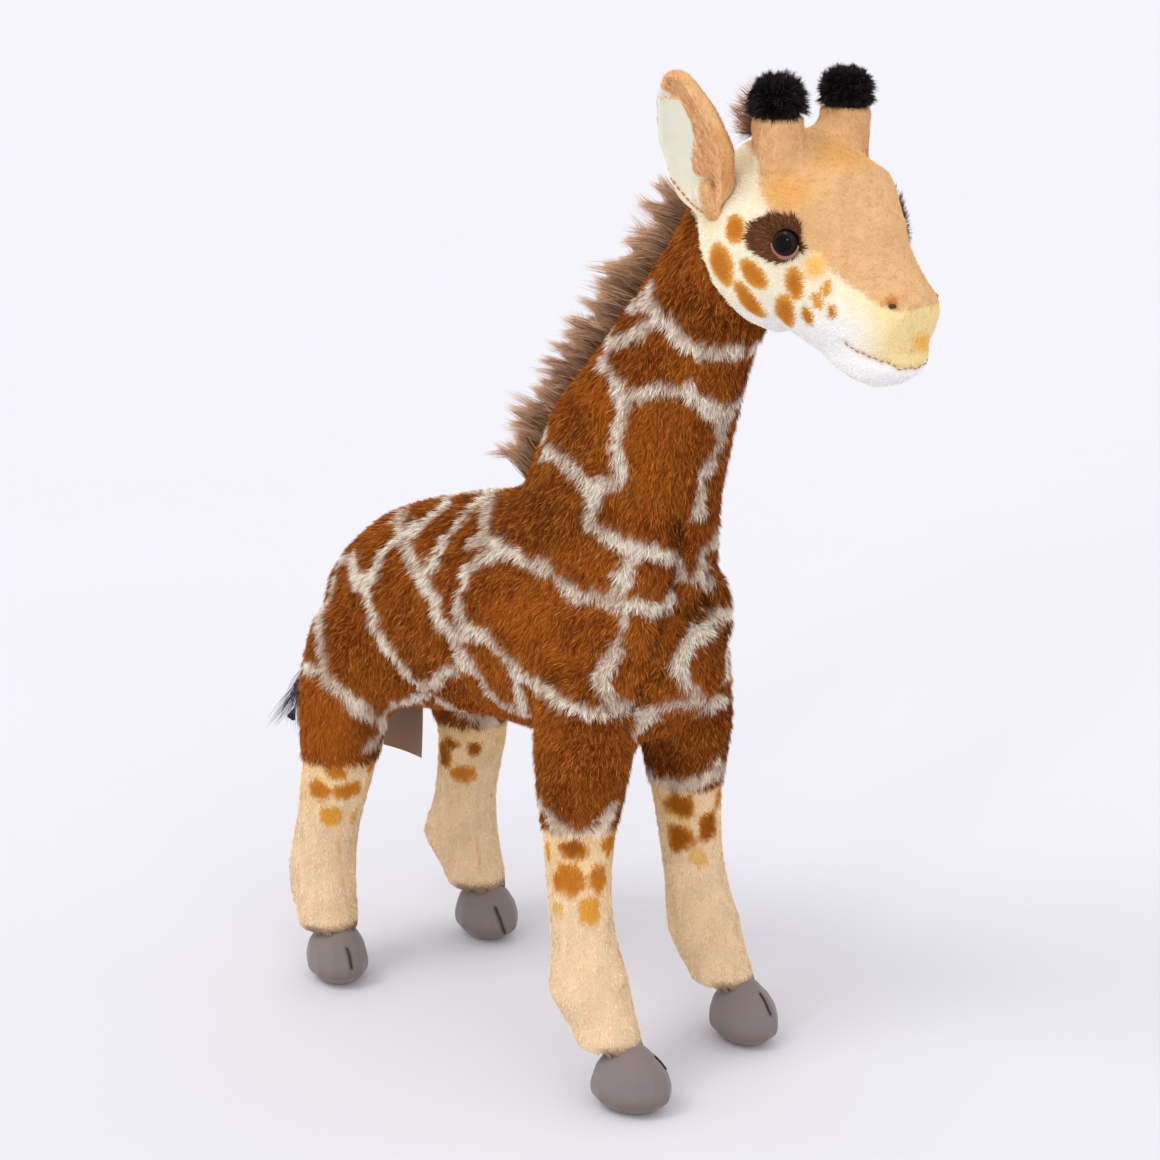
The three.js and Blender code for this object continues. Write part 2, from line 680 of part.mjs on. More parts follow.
function eyelid(eye, grow = 0) {
  const STEPS = 6;
  const radius = EYE_RADIUS + EYELID_WIDTH + GAP;
  const stations = [];
  for (let i = 0; i <= STEPS; i++) {
    const angle = DOWNWARDS + THREE.MathUtils.degToRad(EYELID_TURN) * (i / STEPS - 0.5);
    const thick = (EYELID_WIDTH * (1 + Math.sin((Math.PI * i) / STEPS))) / 2;
    const spot = at(Math.cos(angle) * radius, Math.sin(angle) * radius, EYE_PATCH_PILE);
    stations.push({ at: spot, across: thick, deep: thick });
  }
  const ends = { startEnd: EYELID_WIDTH, endEnd: EYELID_WIDTH };
  const form = { stations, side: UP, rings: STEPS, sides: WIRE_SIDES, ...ends };
  const upright = new THREE.Object3D();
  upright.position.copy(eye.place.position);
  const out = UP.clone().applyQuaternion(eye.place.quaternion);
  const across = UP.clone().cross(out).normalize();
  upright.matrix.makeBasis(across, out.clone().cross(across), out).setPosition(eye.place.position);
  return cut(solidOf(swell(form, grow).applyMatrix4(upright.matrix)), eye.socket);
}

// The head

const headInside = (inset) => solidOf(swell(headForm, inset));
const eyeHoles = eyes.flatMap((eye) => [eye.socket, eye.washerRoom]);
const headCover = cut(headInside(0), headInside(-PLUSH), neckPastHead, headWireBore, ...eyeHoles);
const headStuffing = cut(headInside(-PLUSH - GAP), neckPastHead, headWireBore, ...eyeHoles);
add("head_cover", geometryOf(headCover), "face");
add("head_stuffing", geometryOf(headStuffing), "fibre");

for (const eye of eyes) {
  const dome = add(`eye_${eye.side}`, eyeGeometry(), "eye");
  const washer = add(`eye_washer_${eye.side}`, washerGeometry(), "plastic");
  for (const piece of [dome, washer]) {
    piece.position.copy(eye.place.position);
    piece.quaternion.copy(eye.place.quaternion);
  }
  const patch = cut(eyePatch(eye), eyelid(eye, GAP));
  const lid = cut(eyelid(eye), headInside(GAP));
  add(`eye_patch_${eye.side}`, geometryOf(patch), "patch");
  add(`eyelid_${eye.side}`, geometryOf(lid), "eyelid");
}

const chinForm = {
  stations: CHIN_SHARES.map(([along, lift, across, deep]) => ({
    at: at(CHIN_AHEAD + along * CHIN_LENGTH, 0, CHIN_HEIGHT + lift * CHIN_DEPTH),
    across: (across * CHIN_WIDTH) / 2,
    deep: (deep * CHIN_DEPTH) / 2,
  })),
  rings: 6,
  sides: LIMB_SIDES,
  startEnd: CHIN_END,
  endEnd: CHIN_END,
};
add("chin", geometryOf(cut(solidOf(swell(chinForm)), headInside(GAP), neckPastHead)), "chin");

// Horns

function hornForm(hand, low, high, radius, endDome, lowDome) {
  const rise = HORN_TOP_HEIGHT - HORN_FOOT_HEIGHT;
  const lean = (z) => hand * (HORN_APART / 2 + (HORN_SPLAY * (z - HORN_FOOT_HEIGHT)) / rise);
  const stations = [0, 0.5, 1].map((t) => {
    const z = low + (high - low) * t;
    return { at: at(HORN_AHEAD, lean(z), z), across: radius, deep: radius };
  });
  return { stations, rings: 2, sides: SMALL_SIDES, startEnd: lowDome, endEnd: endDome };
}

for (const [side, hand] of HANDS) {
  const stem = solidOf(swell(hornForm(hand, HORN_FOOT_HEIGHT, HORN_TOP_HEIGHT, HORN_RADIUS, 0, 0)));
  add(`horn_${side}`, geometryOf(cut(stem, headInside(GAP))), "face");
  const low = HORN_TOP_HEIGHT + GAP;
  const high = HORN_TOP_HEIGHT + TUFT_HEIGHT - TUFT_END;
  add(`horn_tuft_${side}`, swell(hornForm(hand, low, high, TUFT_RADIUS, TUFT_END, 0)), "tuft");
}

const forelockPoint = (lift) =>
  at(HORN_AHEAD - FORELOCK_BEHIND_HORNS - HORN_RADIUS, 0, HORN_TOP_HEIGHT + lift);
const forelockForm = {
  stations: FORELOCK_SHARES.map(([lift, across, deep]) => ({
    at: forelockPoint(lift * FORELOCK_HEIGHT),
    across: across * FORELOCK_RADIUS,
    deep: deep * FORELOCK_RADIUS,
  })),
  rings: 3,
  sides: SMALL_SIDES,
  startEnd: 0,
  endEnd: FORELOCK_RADIUS / 2,
};
add("forelock", geometryOf(cut(solidOf(swell(forelockForm)), headInside(GAP))), "mane");

// Ears

function earAxes(side) {
  const [back, out] = EAR_LEAN_SHARES[side];
  const hand = new Map(HANDS).get(side);
  const foot = at(EAR_FOOT_AHEAD, hand * EAR_FOOT_OUT, EAR_FOOT_HEIGHT);
  const along = at(-back, hand * out, Math.sqrt(1 - back ** 2 - out ** 2));
  const turn = THREE.MathUtils.degToRad(EAR_FACING[side]);
  const front = at(Math.cos(turn), hand * Math.sin(turn), 0);
  front.addScaledVector(along, -front.dot(along)).normalize();
  return { foot, along, front, across: front.clone().cross(along) };
}

function earHinge(side) {
  const { foot, along, across } = earAxes(side);
  return { point: foot.addScaledVector(along, EAR_HINGE_SHARE * EAR_LENGTH), axis: across };
}

// A leaf that is widest above its foot, lifted off the ear's own line by some distance.
function earLeaf(side, width, lift, grow = 0) {
  const { foot, along, front, across } = earAxes(side);
  const stations = EAR_SHARES.map(([up, wide, thick]) => ({
    at: foot.clone().addScaledVector(along, up * EAR_LENGTH).addScaledVector(front, lift * thick),
    across: (wide * width) / 2,
    deep: (thick * EAR_THICKNESS) / 2,
  }));
  const ends = { startEnd: 0, endEnd: EAR_TIP_END };
  return solidOf(swell({ stations, side: across, rings: 6, sides: SMALL_SIDES, ...ends }, grow));
}

// The head as the ear meets it over its whole swing
function headPastEar(side) {
  const { point, axis } = earHinge(side);
  const head = headInside(GAP);
  const turned = [-EAR_LIMIT, 0, EAR_LIMIT].map((degrees) => {
    const swing = new THREE.Matrix4().makeTranslation(point);
    swing.multiply(new THREE.Matrix4().makeRotationAxis(axis, THREE.MathUtils.degToRad(degrees)));
    swing.multiply(new THREE.Matrix4().makeTranslation(point.clone().negate()));
    return head.transform(swing.elements);
  });
  return joined(turned);
}

for (const [side] of HANDS) {
  const whole = cut(earLeaf(side, EAR_WIDTH, 0), headPastEar(side));
  const lift = (EAR_CUP_SHARE * EAR_THICKNESS) / 2;
  const cup = (grow) => earLeaf(side, LINING_SHARE * EAR_WIDTH, lift, grow);
  const lining = cut(whole.intersect(cup(-GAP)), cup(-GAP - LINING_THICKNESS));
  add(`ear_back_${side}`, geometryOf(cut(whole, cup(0))), "face");
  add(`ear_lining_${side}`, geometryOf(lining), "lining");
}

// The mane stands on the back of the neck

function neckDepth(t) {
  const last = neckForm.stations.length - 1;
  const low = Math.floor(t * last);
  const [a, b] = [neckForm.stations[low], neckForm.stations[Math.min(low + 1, last)]];
  return THREE.MathUtils.lerp(a.deep, b.deep, t * last - low);
}

const maneForm = {
  stations: MANE_SHARES.map(([t, deep]) => {
    const back = SIDEWAYS.clone().cross(neckLine.getTangent(t)).negate();
    return {
      at: neckLine.getPoint(t).addScaledVector(back, neckDepth(t) + MANE_HAIR * MANE_LIFT_SHARE),
      across: MANE_THICKNESS / 2,
      deep: MANE_HAIR * deep,
    };
  }),
  rings: 8,
  sides: SMALL_SIDES,
  startEnd: MANE_END,
  endEnd: MANE_END,
};
const mane = cut(
  solidOf(swell(maneForm)),
  solidOf(swell(neckForm, GAP)),
  solidOf(swell(headForm, MANE_ROOM)),
  solidOf(swell(torsoForm, MANE_FOOT_ROOM)),
);
add("mane", geometryOf(mane), "mane");

// Legs and hooves

const LEGS = [
  { name: "front_right", front: true, hand: -1, step: FRONT_STEP, toe: 16 },
  { name: "front_left", front: true, hand: 1, step: -FRONT_STEP, toe: -12 },
  { name: "rear_right", front: false, hand: -1, step: -REAR_STEP, toe: -24 },
  { name: "rear_left", front: false, hand: 1, step: REAR_STEP, toe: -12 },
];

function legPlaces(leg) {
  const stance = leg.front ? FRONT_STANCE : -REAR_STANCE;
  const hoof = at(stance + leg.step, leg.hand * STANCE_HALF_WIDTH, 0);
  const back = leg.front ? FRONT_ANKLE_BACK : REAR_ANKLE_BACK;
  const ankle = hoof.clone().add(at(-back, 0, ANKLE_HEIGHT));
  const ahead = leg.front ? FRONT_HIP_AHEAD : -REAR_HIP_BACK;
  const height = leg.front ? FRONT_HIP_HEIGHT : REAR_HIP_HEIGHT;
  const hip = at(ahead, leg.hand * HIP_HALF_WIDTH, height);
  return { hoof, ankle, hip };
}

function legForm(leg) {
  const { ankle, hip } = legPlaces(leg);
  const shares = leg.front ? FRONT_LEG_SHARES : REAR_LEG_SHARES;
  const { lerp } = THREE.MathUtils;
  const stations = shares.map(([down, out, bow, across, deep]) => ({
    at: at(
      lerp(hip.x, ankle.x, down) + bow * LEG_BOW,
      lerp(hip.y, ankle.y, out),
      lerp(hip.z, ankle.z, down),
    ),
    across: (across * LEG_WIDTH) / 2,
    deep: (deep * LEG_DEPTH) / 2,
  }));
  return { stations, rings: 14, sides: LIMB_SIDES, startEnd: LEG_TOP_END, endEnd: 0 };
}

function hoofGeometry(grow = 0) {
  const stations = HOOF_SHARES.map(([up, across, deep]) => ({
    at: at(0, 0, up * (HOOF_HEIGHT - HOOF_TOP_END)),
    across: (across * HOOF_WIDTH) / 2,
    deep: (deep * HOOF_LENGTH) / 2,
  }));
  return swell({ stations, rings: 6, sides: LIMB_SIDES, startEnd: 0, endEnd: HOOF_TOP_END }, grow);
}

const legHinge = (leg) => ({ point: legPlaces(leg).hip, axis: SIDEWAYS });

function legWirePoints(leg) {
  const { hoof, hip } = legPlaces(leg);
  const line = new THREE.CatmullRomCurve3(legForm(leg).stations.map((s) => s.at));
  const sole = INSOLE_HEIGHT + INSOLE_THICKNESS + 3 * GAP;
  return [
    hip.clone().add(at(0, 0, -EYE_LOOP_RADIUS - WIRE_RADIUS / 2)),
    ...LEG_WIRE_SHARES.map((t) => line.getPoint(t)),
    at(hoof.x - HEEL_BEND, hoof.y, (sole + ANKLE_HEIGHT) / 2),
    at(hoof.x, hoof.y, sole),
  ];
}

const legWire = (leg, grow) =>
  joined([solidOf(wireAlong(legWirePoints(leg), grow)), solidOf(eyeLoop(legPlaces(leg).hip, grow))]);

const insoleGeometry = (grow = 0) => {
  const disc = new THREE.CylinderGeometry(
    INSOLE_RADIUS + grow,
    INSOLE_RADIUS + grow,
    INSOLE_THICKNESS + 2 * grow,
    SMALL_SIDES,
  );
  return disc.rotateX(Math.PI / 2).translate(0, 0, INSOLE_HEIGHT + INSOLE_THICKNESS / 2);
};

for (const leg of LEGS) {
  const { hoof } = legPlaces(leg);
  const stand = new THREE.Object3D();
  stand.position.copy(hoof);
  stand.rotation.z = THREE.MathUtils.degToRad(leg.toe);
  stand.updateMatrix();
  const wireRoom = legWire(leg, GAP);
  const torsoPastLeg = solidOf(swell(torsoForm, LEG_ROOM));
  const edge = leg.front ? FRONT_FUR_EDGE : REAR_FUR_EDGE;
  const whole = cut(solidOf(swell(legForm(leg))), wireRoom);
  const hoofRoom = solidOf(placed(hoofGeometry(GAP), stand));
  const thigh = cut(whole.intersect(above(edge + GAP)), torsoPastLeg);
  add(`upper_leg_${leg.name}`, geometryOf(thigh), "fur");
  add(`lower_leg_${leg.name}`, geometryOf(cut(whole, above(edge), hoofRoom)), "pale");
  const hoofSolid = solidOf(placed(hoofGeometry(), stand));
  const insoleRoom = solidOf(placed(insoleGeometry(GAP), stand));
  add(`hoof_${leg.name}`, geometryOf(cut(hoofSolid, wireRoom, insoleRoom)), "hoof");
  const insole = add(`hoof_insole_${leg.name}`, insoleGeometry(), "plastic");
  insole.position.copy(stand.position);
  insole.rotation.copy(stand.rotation);
  add(`leg_wire_${leg.name}`, geometryOf(legWire(leg, 0)), "wire");
}

// The torso: a frame of welded wire, stuffing round it and a cover with a hole for each limb

const barEnd = HIP_HALF_WIDTH + EYE_LOOP_RADIUS;
const wireBetween = (from, to, grow) => solidOf(wireAlong(straight(from, to), grow));
const bar = (x, z, half, grow) => wireBetween(at(x, -half, z), at(x, half, z), grow);
const frontHip = at(FRONT_HIP_AHEAD, 0, FRONT_HIP_HEIGHT);
const rearHip = at(-REAR_HIP_BACK, 0, REAR_HIP_HEIGHT);

// The neck's bar is the top of a staple that straddles the neck wire's eye.
function neckStaple(grow) {
  const { x, z } = neckHinge.point;
  const posts = HANDS.map(([, hand]) => {
    const y = hand * STAPLE_HALF_WIDTH;
    return wireBetween(at(x, y, z), at(frontHip.x, y, frontHip.z), grow);
  });
  return joined([bar(x, z, STAPLE_HALF_WIDTH + WIRE_RADIUS / 2, grow), ...posts]);
}

function torsoFrame(grow) {
  return joined([
    wireBetween(rearHip, frontHip, grow),
    bar(frontHip.x, frontHip.z, barEnd, grow),
    bar(rearHip.x, rearHip.z, barEnd, grow),
    neckStaple(grow),
  ]);
}

const slotTurn = THREE.MathUtils.degToRad(LEG_LIMIT + WIRE_LEAN);
const legSlot = slot + HIP_HALF_WIDTH / 3; // wide enough for the leg wire to lean out
function legFan(leg) {
  const shift = (leg.hand * (legSlot - slot)) / 2;
  const [from, to] = [DOWNWARDS - slotTurn, DOWNWARDS + slotTurn];
  return solidOf(fan(legPlaces(leg).hip, TORSO_DEPTH, from, to, legSlot, shift));
}
const hipRooms = LEGS.map((leg) => solidOf(loopRoom(legPlaces(leg).hip, slot)));

// The neck's pit keeps the neck's own section, with a deeper floor
const neckPitForm = {
  ...neckForm,
  startEnd: 4 * NECK_END_ROOM,
  stations: neckForm.stations.map(({ at: place, across, deep }) => ({
    at: place,
    across: across + NECK_SIDE_ROOM,
    deep: deep + NECK_EDGE_ROOM + NECK_SWAY * Math.max(0, neckHinge.point.z - place.z),
  })),
};
const neckPit = cut(solidOf(swell(neckPitForm)), neckFloor(NECK_SINK + NECK_END_ROOM));
const legHoles = LEGS.map((leg) => solidOf(swell(legForm(leg), -OVERRUN)));
const wireSlots = [...hipRooms, ...LEGS.map(legFan)];
const torsoSolid = (inset) => solidOf(swell(torsoForm, inset));
const torsoCover = cut(torsoSolid(0), torsoSolid(-PLUSH), neckPit, ...legHoles);
const torsoStuffing = cut(
  torsoSolid(-PLUSH - GAP),
  neckPit,
  torsoFrame(GAP),
  ...wireSlots,
);
add("torso_cover", geometryOf(torsoCover), "fur");
add("torso_stuffing", geometryOf(torsoStuffing), "fibre");
add("torso_frame", geometryOf(torsoFrame(0)), "wire");

// The tail hangs from the rump

const tailHinge = { point: at(-TAIL_ROOT_BACK, 0, TAIL_ROOT_HEIGHT), axis: SIDEWAYS };
function tailPoint(share) {
  const back = TAIL_ROOT_BACK + TAIL_BACK * Math.sin((share * Math.PI) / 2);
  return at(-back, 0, TAIL_ROOT_HEIGHT - TAIL_DROP * share ** TAIL_DROOP);
}
const tailForm = {
  stations: TAIL_SHARES.map(([share, wide]) => ({
    at: tailPoint(share),
    across: wide * TAIL_RADIUS,
    deep: wide * TAIL_RADIUS,
  })),
  rings: 4,
  sides: SMALL_SIDES,
  startEnd: 0,
  endEnd: 0,
};
const torsoPastTail = solidOf(swell(torsoForm, TAIL_ROOM));
add("tail", geometryOf(cut(solidOf(swell(tailForm)), torsoPastTail)), "fur");
const tailTip = tailPoint(1);
const tailTuftForm = {
  stations: TAIL_TUFT_SHARES.map(([share, wide]) => ({
    at: tailTip.clone().add(at(-TAIL_TUFT_BACK * share, 0, -TAIL_TUFT_LENGTH * share - GAP)),
    across: wide * TAIL_TUFT_RADIUS,
    deep: wide * TAIL_TUFT_RADIUS,
  })),
  rings: 5,
  sides: SMALL_SIDES,
  startEnd: 0,
  endEnd: TAIL_TUFT_RADIUS / 4,
};
const tuftRoot = solidOf(swell(tailForm, GAP));
add("tail_tuft", geometryOf(cut(solidOf(swell(tailTuftForm)), tuftRoot)), "tail");

// The label hangs from the belly seam
const labelLength = LABEL_DROP + TORSO_DEPTH / 4; // the top is cut off by the belly
const label = new THREE.BoxGeometry(LABEL_WIDTH, LABEL_THICKNESS, labelLength);
const skin = new THREE.Mesh(swell(torsoForm));
const belly = new THREE.Raycaster(at(LABEL_AHEAD, 0, 0), UP).intersectObject(skin)[0].point.z;
label.translate(LABEL_AHEAD, 0, belly - LABEL_DROP + labelLength / 2);
add("sewn_label", geometryOf(cut(solidOf(label), torsoSolid(GAP))), "label");

// Centre the toy over its origin, and give its hinges in the same frame.

const footprint = new THREE.Box3().setFromObject(toy, true).getCenter(at(0, 0, 0)).setZ(0);
toy.position.sub(footprint);

export const hinges = {
  neck_bend: { ...neckHinge, limits: [-NECK_BEND_LIMIT, NECK_BEND_LIMIT] },
  head_turn: { ...headHinge, limits: [-HEAD_TURN_LIMIT, HEAD_TURN_LIMIT] },
  tail_swing: { ...tailHinge, limits: [-TAIL_FORWARD_LIMIT, TAIL_BACK_LIMIT] },
};
for (const [side, hand] of HANDS) {
  hinges[`ear_flex_${side}`] = { ...earHinge(side), limits: [-EAR_LIMIT, EAR_LIMIT] };
}
for (const leg of LEGS) {
  hinges[`leg_bend_${leg.name}`] = { ...legHinge(leg), limits: [-LEG_LIMIT, LEG_LIMIT] };
}
for (const hinge of Object.values(hinges)) hinge.point = hinge.point.clone().add(toy.position);

export default toy;
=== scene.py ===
# A standing plush giraffe in its fur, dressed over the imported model. Metres, +Z up, nose along +X.
import json
import math

import bmesh
import bpy
import numpy as np
from mathutils import Matrix, Vector
from mathutils.bvhtree import BVHTree
from mathutils.kdtree import KDTree


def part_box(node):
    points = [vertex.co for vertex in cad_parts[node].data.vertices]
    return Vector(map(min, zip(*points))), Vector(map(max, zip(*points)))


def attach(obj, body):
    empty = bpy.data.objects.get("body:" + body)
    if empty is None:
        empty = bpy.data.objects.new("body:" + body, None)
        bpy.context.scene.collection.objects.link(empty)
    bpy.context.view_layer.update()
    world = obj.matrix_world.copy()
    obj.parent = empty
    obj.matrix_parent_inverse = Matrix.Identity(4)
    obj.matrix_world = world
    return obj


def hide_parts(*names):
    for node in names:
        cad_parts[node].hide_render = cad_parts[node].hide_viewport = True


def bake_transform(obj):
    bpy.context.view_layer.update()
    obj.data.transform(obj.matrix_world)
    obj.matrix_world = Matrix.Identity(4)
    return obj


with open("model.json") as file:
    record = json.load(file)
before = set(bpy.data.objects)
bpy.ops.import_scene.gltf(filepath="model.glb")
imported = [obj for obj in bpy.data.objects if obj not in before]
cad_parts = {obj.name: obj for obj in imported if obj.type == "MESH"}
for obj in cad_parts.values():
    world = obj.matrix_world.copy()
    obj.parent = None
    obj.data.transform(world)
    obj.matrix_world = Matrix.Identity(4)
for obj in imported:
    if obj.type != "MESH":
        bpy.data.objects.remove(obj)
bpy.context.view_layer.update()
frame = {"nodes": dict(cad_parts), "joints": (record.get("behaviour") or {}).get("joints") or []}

MM = 0.001
JOINTS = {joint["name"]: Vector(joint["pos_m"]) for joint in frame["joints"]}
AXES = {joint["name"]: Vector(joint["axis"]) for joint in frame["joints"]}
NECK_HINGE = JOINTS["neck_bend"]

# The camera stands where the photograph was taken. The photograph is square.
PHOTO_SIDE = 1160
CAMERA_PLACE = NECK_HINGE + Vector((1210.5, -1251.7, 485.6)) * MM
CAMERA_AZIMUTH = 44.6
CAMERA_ELEVATION = 16.8
CAMERA_VIEW = 22  # degrees across the picture

SENSOR = 36
azimuth, elevation = math.radians(CAMERA_AZIMUTH), math.radians(CAMERA_ELEVATION)
camera_back = Vector((
    math.sin(azimuth) * math.cos(elevation),
    -math.cos(azimuth) * math.cos(elevation),
    math.sin(elevation),
))
camera_turn = (-camera_back).to_track_quat("-Z", "Y")
half_view = math.tan(math.radians(CAMERA_VIEW / 2))


def make_camera():
    data = bpy.data.cameras.new("camera")
    data.sensor_width = SENSOR
    data.lens = SENSOR / 2 / half_view
    data.clip_end = 100
    camera = bpy.data.objects.new("camera", data)
    camera.rotation_mode = "QUATERNION"
    camera.rotation_quaternion = camera_turn
    camera.location = CAMERA_PLACE
    bpy.context.scene.collection.objects.link(camera)
    bpy.context.scene.camera = camera


def pixel_ray(pixel):
    """The direction in which the camera sees a pixel of the photograph."""
    across = (pixel[0] / PHOTO_SIDE * 2 - 1) * half_view
    up = (1 - pixel[1] / PHOTO_SIDE * 2) * half_view
    return (camera_turn @ Vector((across, up, -1))).normalized()


def pixels_of(points):
    """Where the photograph shows these points, as an array of pixel coordinates."""
    turn = np.array(camera_turn.to_matrix())
    seen = (points - np.array(CAMERA_PLACE)) @ turn
    depth = -seen[:, 2] * half_view
    across = (seen[:, 0] / depth + 1) / 2 * PHOTO_SIDE
    down = (1 - seen[:, 1] / depth) / 2 * PHOTO_SIDE
    return np.stack([across, down], 1)


def pixel_size(place):
    """How wide a pixel of the photograph is at a place."""
    return (CAMERA_PLACE - place).dot(camera_back) * 2 * half_view / PHOTO_SIDE


make_camera()
bpy.context.scene.view_settings.view_transform = "Standard"

# Colours as they look on screen, from 0 to 255
RUST = (152, 80, 20)
RUST_DARK = (104, 44, 8)
RUST_LIGHT = (196, 122, 54)
LINE = (240, 224, 204)
LINE_GREY = (204, 184, 164)
CREAM = (250, 219, 178)
CREAM_YELLOW = (250, 216, 150)
SPOT_BROWN = (160, 88, 24)
SPOT_MIDDLE = (204, 124, 42)
SPOT_ORANGE = (232, 166, 66)
SPOT_FAINT = (238, 196, 120)
PEACH = (236, 190, 136)
PEACH_ORANGE = (236, 176, 92)
CHEEK = (253, 244, 214)
CHIN_WHITE = (251, 250, 247)
MUZZLE = (254, 226, 150)
NOSE_ORANGE = (250, 190, 80)
MOUTH_THREAD = (196, 136, 64)
BLACK_PILE = (18, 16, 18)
BLACK_TIP = (62, 48, 46)
TAIL_ROOT = (46, 43, 50)
TAIL_TIP = (104, 98, 108)
MANE_ROOT = (98, 58, 30)
MANE_TIP = (226, 182, 144)
HOOF = (124, 112, 110)
HOOF_LOW = (108, 90, 82)
CLEFT = (52, 38, 34)
# painted shade where the leg pile meets the hoof
HOOF_SHADE_BROWN = (96, 62, 46)
LINING = (228, 226, 206)
EAR_EDGE = (250, 238, 216)
PATCH = (112, 70, 42)
LID = (150, 96, 82)
LABEL = (142, 116, 96)
FLOOR = (225, 224, 229)
GLOW_YELLOW = (252, 200, 104)
PUPIL = (3, 2, 3)
IRIS = (34, 20, 16)
PATCH_LIGHT = (150, 108, 78)
NOSTRIL_THREAD = (88, 52, 30)
EAR_PEACH = (226, 168, 104)
STEEL = (168, 170, 174)
WHITE_PLASTIC = (232, 230, 224)


def linear(colour):
    """A screen colour from 0 to 255 as the linear values that shading works in."""
    share = np.asarray(colour, float) / 255
    return np.where(share <= 0.04045, share / 12.92, ((share + 0.055) / 1.055) ** 2.4)


def mixed(a, b, share):
    """Colours from a to b, one row for each share."""
    share = np.clip(np.asarray(share, float), 0, 1).reshape(-1, 1)
    return a * (1 - share) + b * share


def smooth_step(low, high, value):
    t = np.clip((value - low) / (high - low), 0, 1)
    return t * t * (3 - 2 * t)


def unit(vectors):
    length = np.linalg.norm(vectors, axis=-1, keepdims=True)
    return vectors / np.maximum(length, 1e-12)


WAVES = 12


def wavy(points, size, seed):
    """Smooth noise over space, made from a few seeded waves."""
    rng = np.random.default_rng(seed)
    total = np.zeros(len(points))
    for _ in range(WAVES):
        way = rng.normal(size=3)
        way /= np.linalg.norm(way)
        wave_length = size * rng.uniform(0.6, 1.7)
        total += np.sin(points @ way * (2 * math.pi / wave_length) + rng.uniform(0, 2 * math.pi))
    return total / math.sqrt(WAVES / 2)


# The noises in the colours, each with the size of its waves and its seed
NOISES = {
    "ragged": (9 * MM, 11), "wander": (28 * MM, 12), "deep": (60 * MM, 13), "flecks": (16 * MM, 14),
    "line": (25 * MM, 15), "wash": (30 * MM, 17), "streak": (5 * MM, 18), "warm": (40 * MM, 19),
    "spot": (9 * MM, 20),
}


def noise(kind, points):
    return wavy(points, *NOISES[kind])


# Meshes


def new_object(name, data):
    made = bpy.data.objects.new(name, data)
    bpy.context.scene.collection.objects.link(made)
    return made


def new_piece(name, mesh):
    """A new object with smooth shading."""
    mesh.polygons.foreach_set("use_smooth", [True] * len(mesh.polygons))
    return new_object(name, mesh)


def mesh_from(name, verts, faces):
    mesh = bpy.data.meshes.new(name)
    mesh.from_pydata(verts, [], faces)
    return mesh


def vectors_of(items, kind):
    found = np.empty(len(items) * 3)
    items.foreach_get(kind, found)
    return found.reshape(-1, 3)


def points_of(mesh):
    return vectors_of(mesh.vertices, "co")


def normals_of(mesh):
    return vectors_of(mesh.vertices, "normal")


def move_points(mesh, points):
    mesh.vertices.foreach_set("co", points.ravel())
    mesh.update()
    return mesh


def node_copy(names):
    """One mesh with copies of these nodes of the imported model."""
    verts, faces = [], []
    for name in names:
        mesh = frame["nodes"][name].data
        start = len(verts)
        verts += [v.co.copy() for v in mesh.vertices]
        faces += [[start + i for i in face.vertices] for face in mesh.polygons]
    return mesh_from("copy", verts, faces)


def modified(mesh, kind, settings):
    """The mesh as a modifier leaves it."""
    obj = new_object("work", mesh)
    modifier = obj.modifiers.new("work", kind)
    for name, value in settings.items():
        setattr(modifier, name, value)
    graph = bpy.context.evaluated_depsgraph_get()
    graph.update()
    made = bpy.data.meshes.new_from_object(obj.evaluated_get(graph))
    bpy.data.objects.remove(obj)
    return made


def remeshed(mesh, voxel):
    return modified(mesh, "REMESH", {"mode": "VOXEL", "voxel_size": voxel})


def smoothed(mesh, rounds):
    return modified(mesh, "SMOOTH", {"iterations": rounds, "factor": 0.5})


def grown(mesh, reach):
    return move_points(mesh, points_of(mesh) + normals_of(mesh) * reach)


def closed_skin(names, voxel, reach, rounds):
    """One smooth skin over these nodes, with every gap under twice the reach closed."""
    mesh = remeshed(node_copy(names), voxel)
    mesh = remeshed(grown(smoothed(mesh, 2), reach), voxel)
    return smoothed(grown(smoothed(mesh, 2), -reach), rounds)


def smooth_copy(names, voxel, rounds, reach=0):
    """A finely meshed and rounded copy of these nodes."""
    return grown(smoothed(remeshed(node_copy(names), voxel), rounds), reach)


def kept_faces(mesh, keep, name):
    """A new object with the faces of the mesh for which keep holds; keep takes the face centres."""
    chosen = np.flatnonzero(keep(vectors_of(mesh.polygons, "center")))
    faces = [list(mesh.polygons[int(i)].vertices) for i in chosen]
    used = sorted({v for face in faces for v in face})
    place = {v: i for i, v in enumerate(used)}
    faces = [[place[v] for v in face] for face in faces]
    return new_piece(name, mesh_from(name, points_of(mesh)[used].tolist(), faces))


def tree_of(mesh):
    return BVHTree.FromPolygons([v.co for v in mesh.vertices], [list(f.vertices) for f in mesh.polygons])


def finder_of(places):
    finder = KDTree(len(places))
    for i, place in enumerate(places):
        finder.insert(place, i)
    finder.balance()
    return finder


def distances(finder, points):
    return np.array([finder.find(p)[2] for p in points])


def nearness(finder, points, reach):
    """1 at the places of the finder, falling softly to 0 beyond the reach."""
    return np.exp(-((distances(finder, points) / reach) ** 2))


def nearest_index(places, points):
    finder = finder_of(places)
    return np.array([finder.find(p)[1] for p in points])


def away_from(place, points):
    return np.linalg.norm(points - np.array(place), axis=1)


def pressed(mesh, places, depth, reach):
    """Presses a soft furrow into the mesh along these places."""
    inward = depth * nearness(finder_of(places), points_of(mesh), reach)
    return move_points(mesh, points_of(mesh) - normals_of(mesh) * inward[:, None])


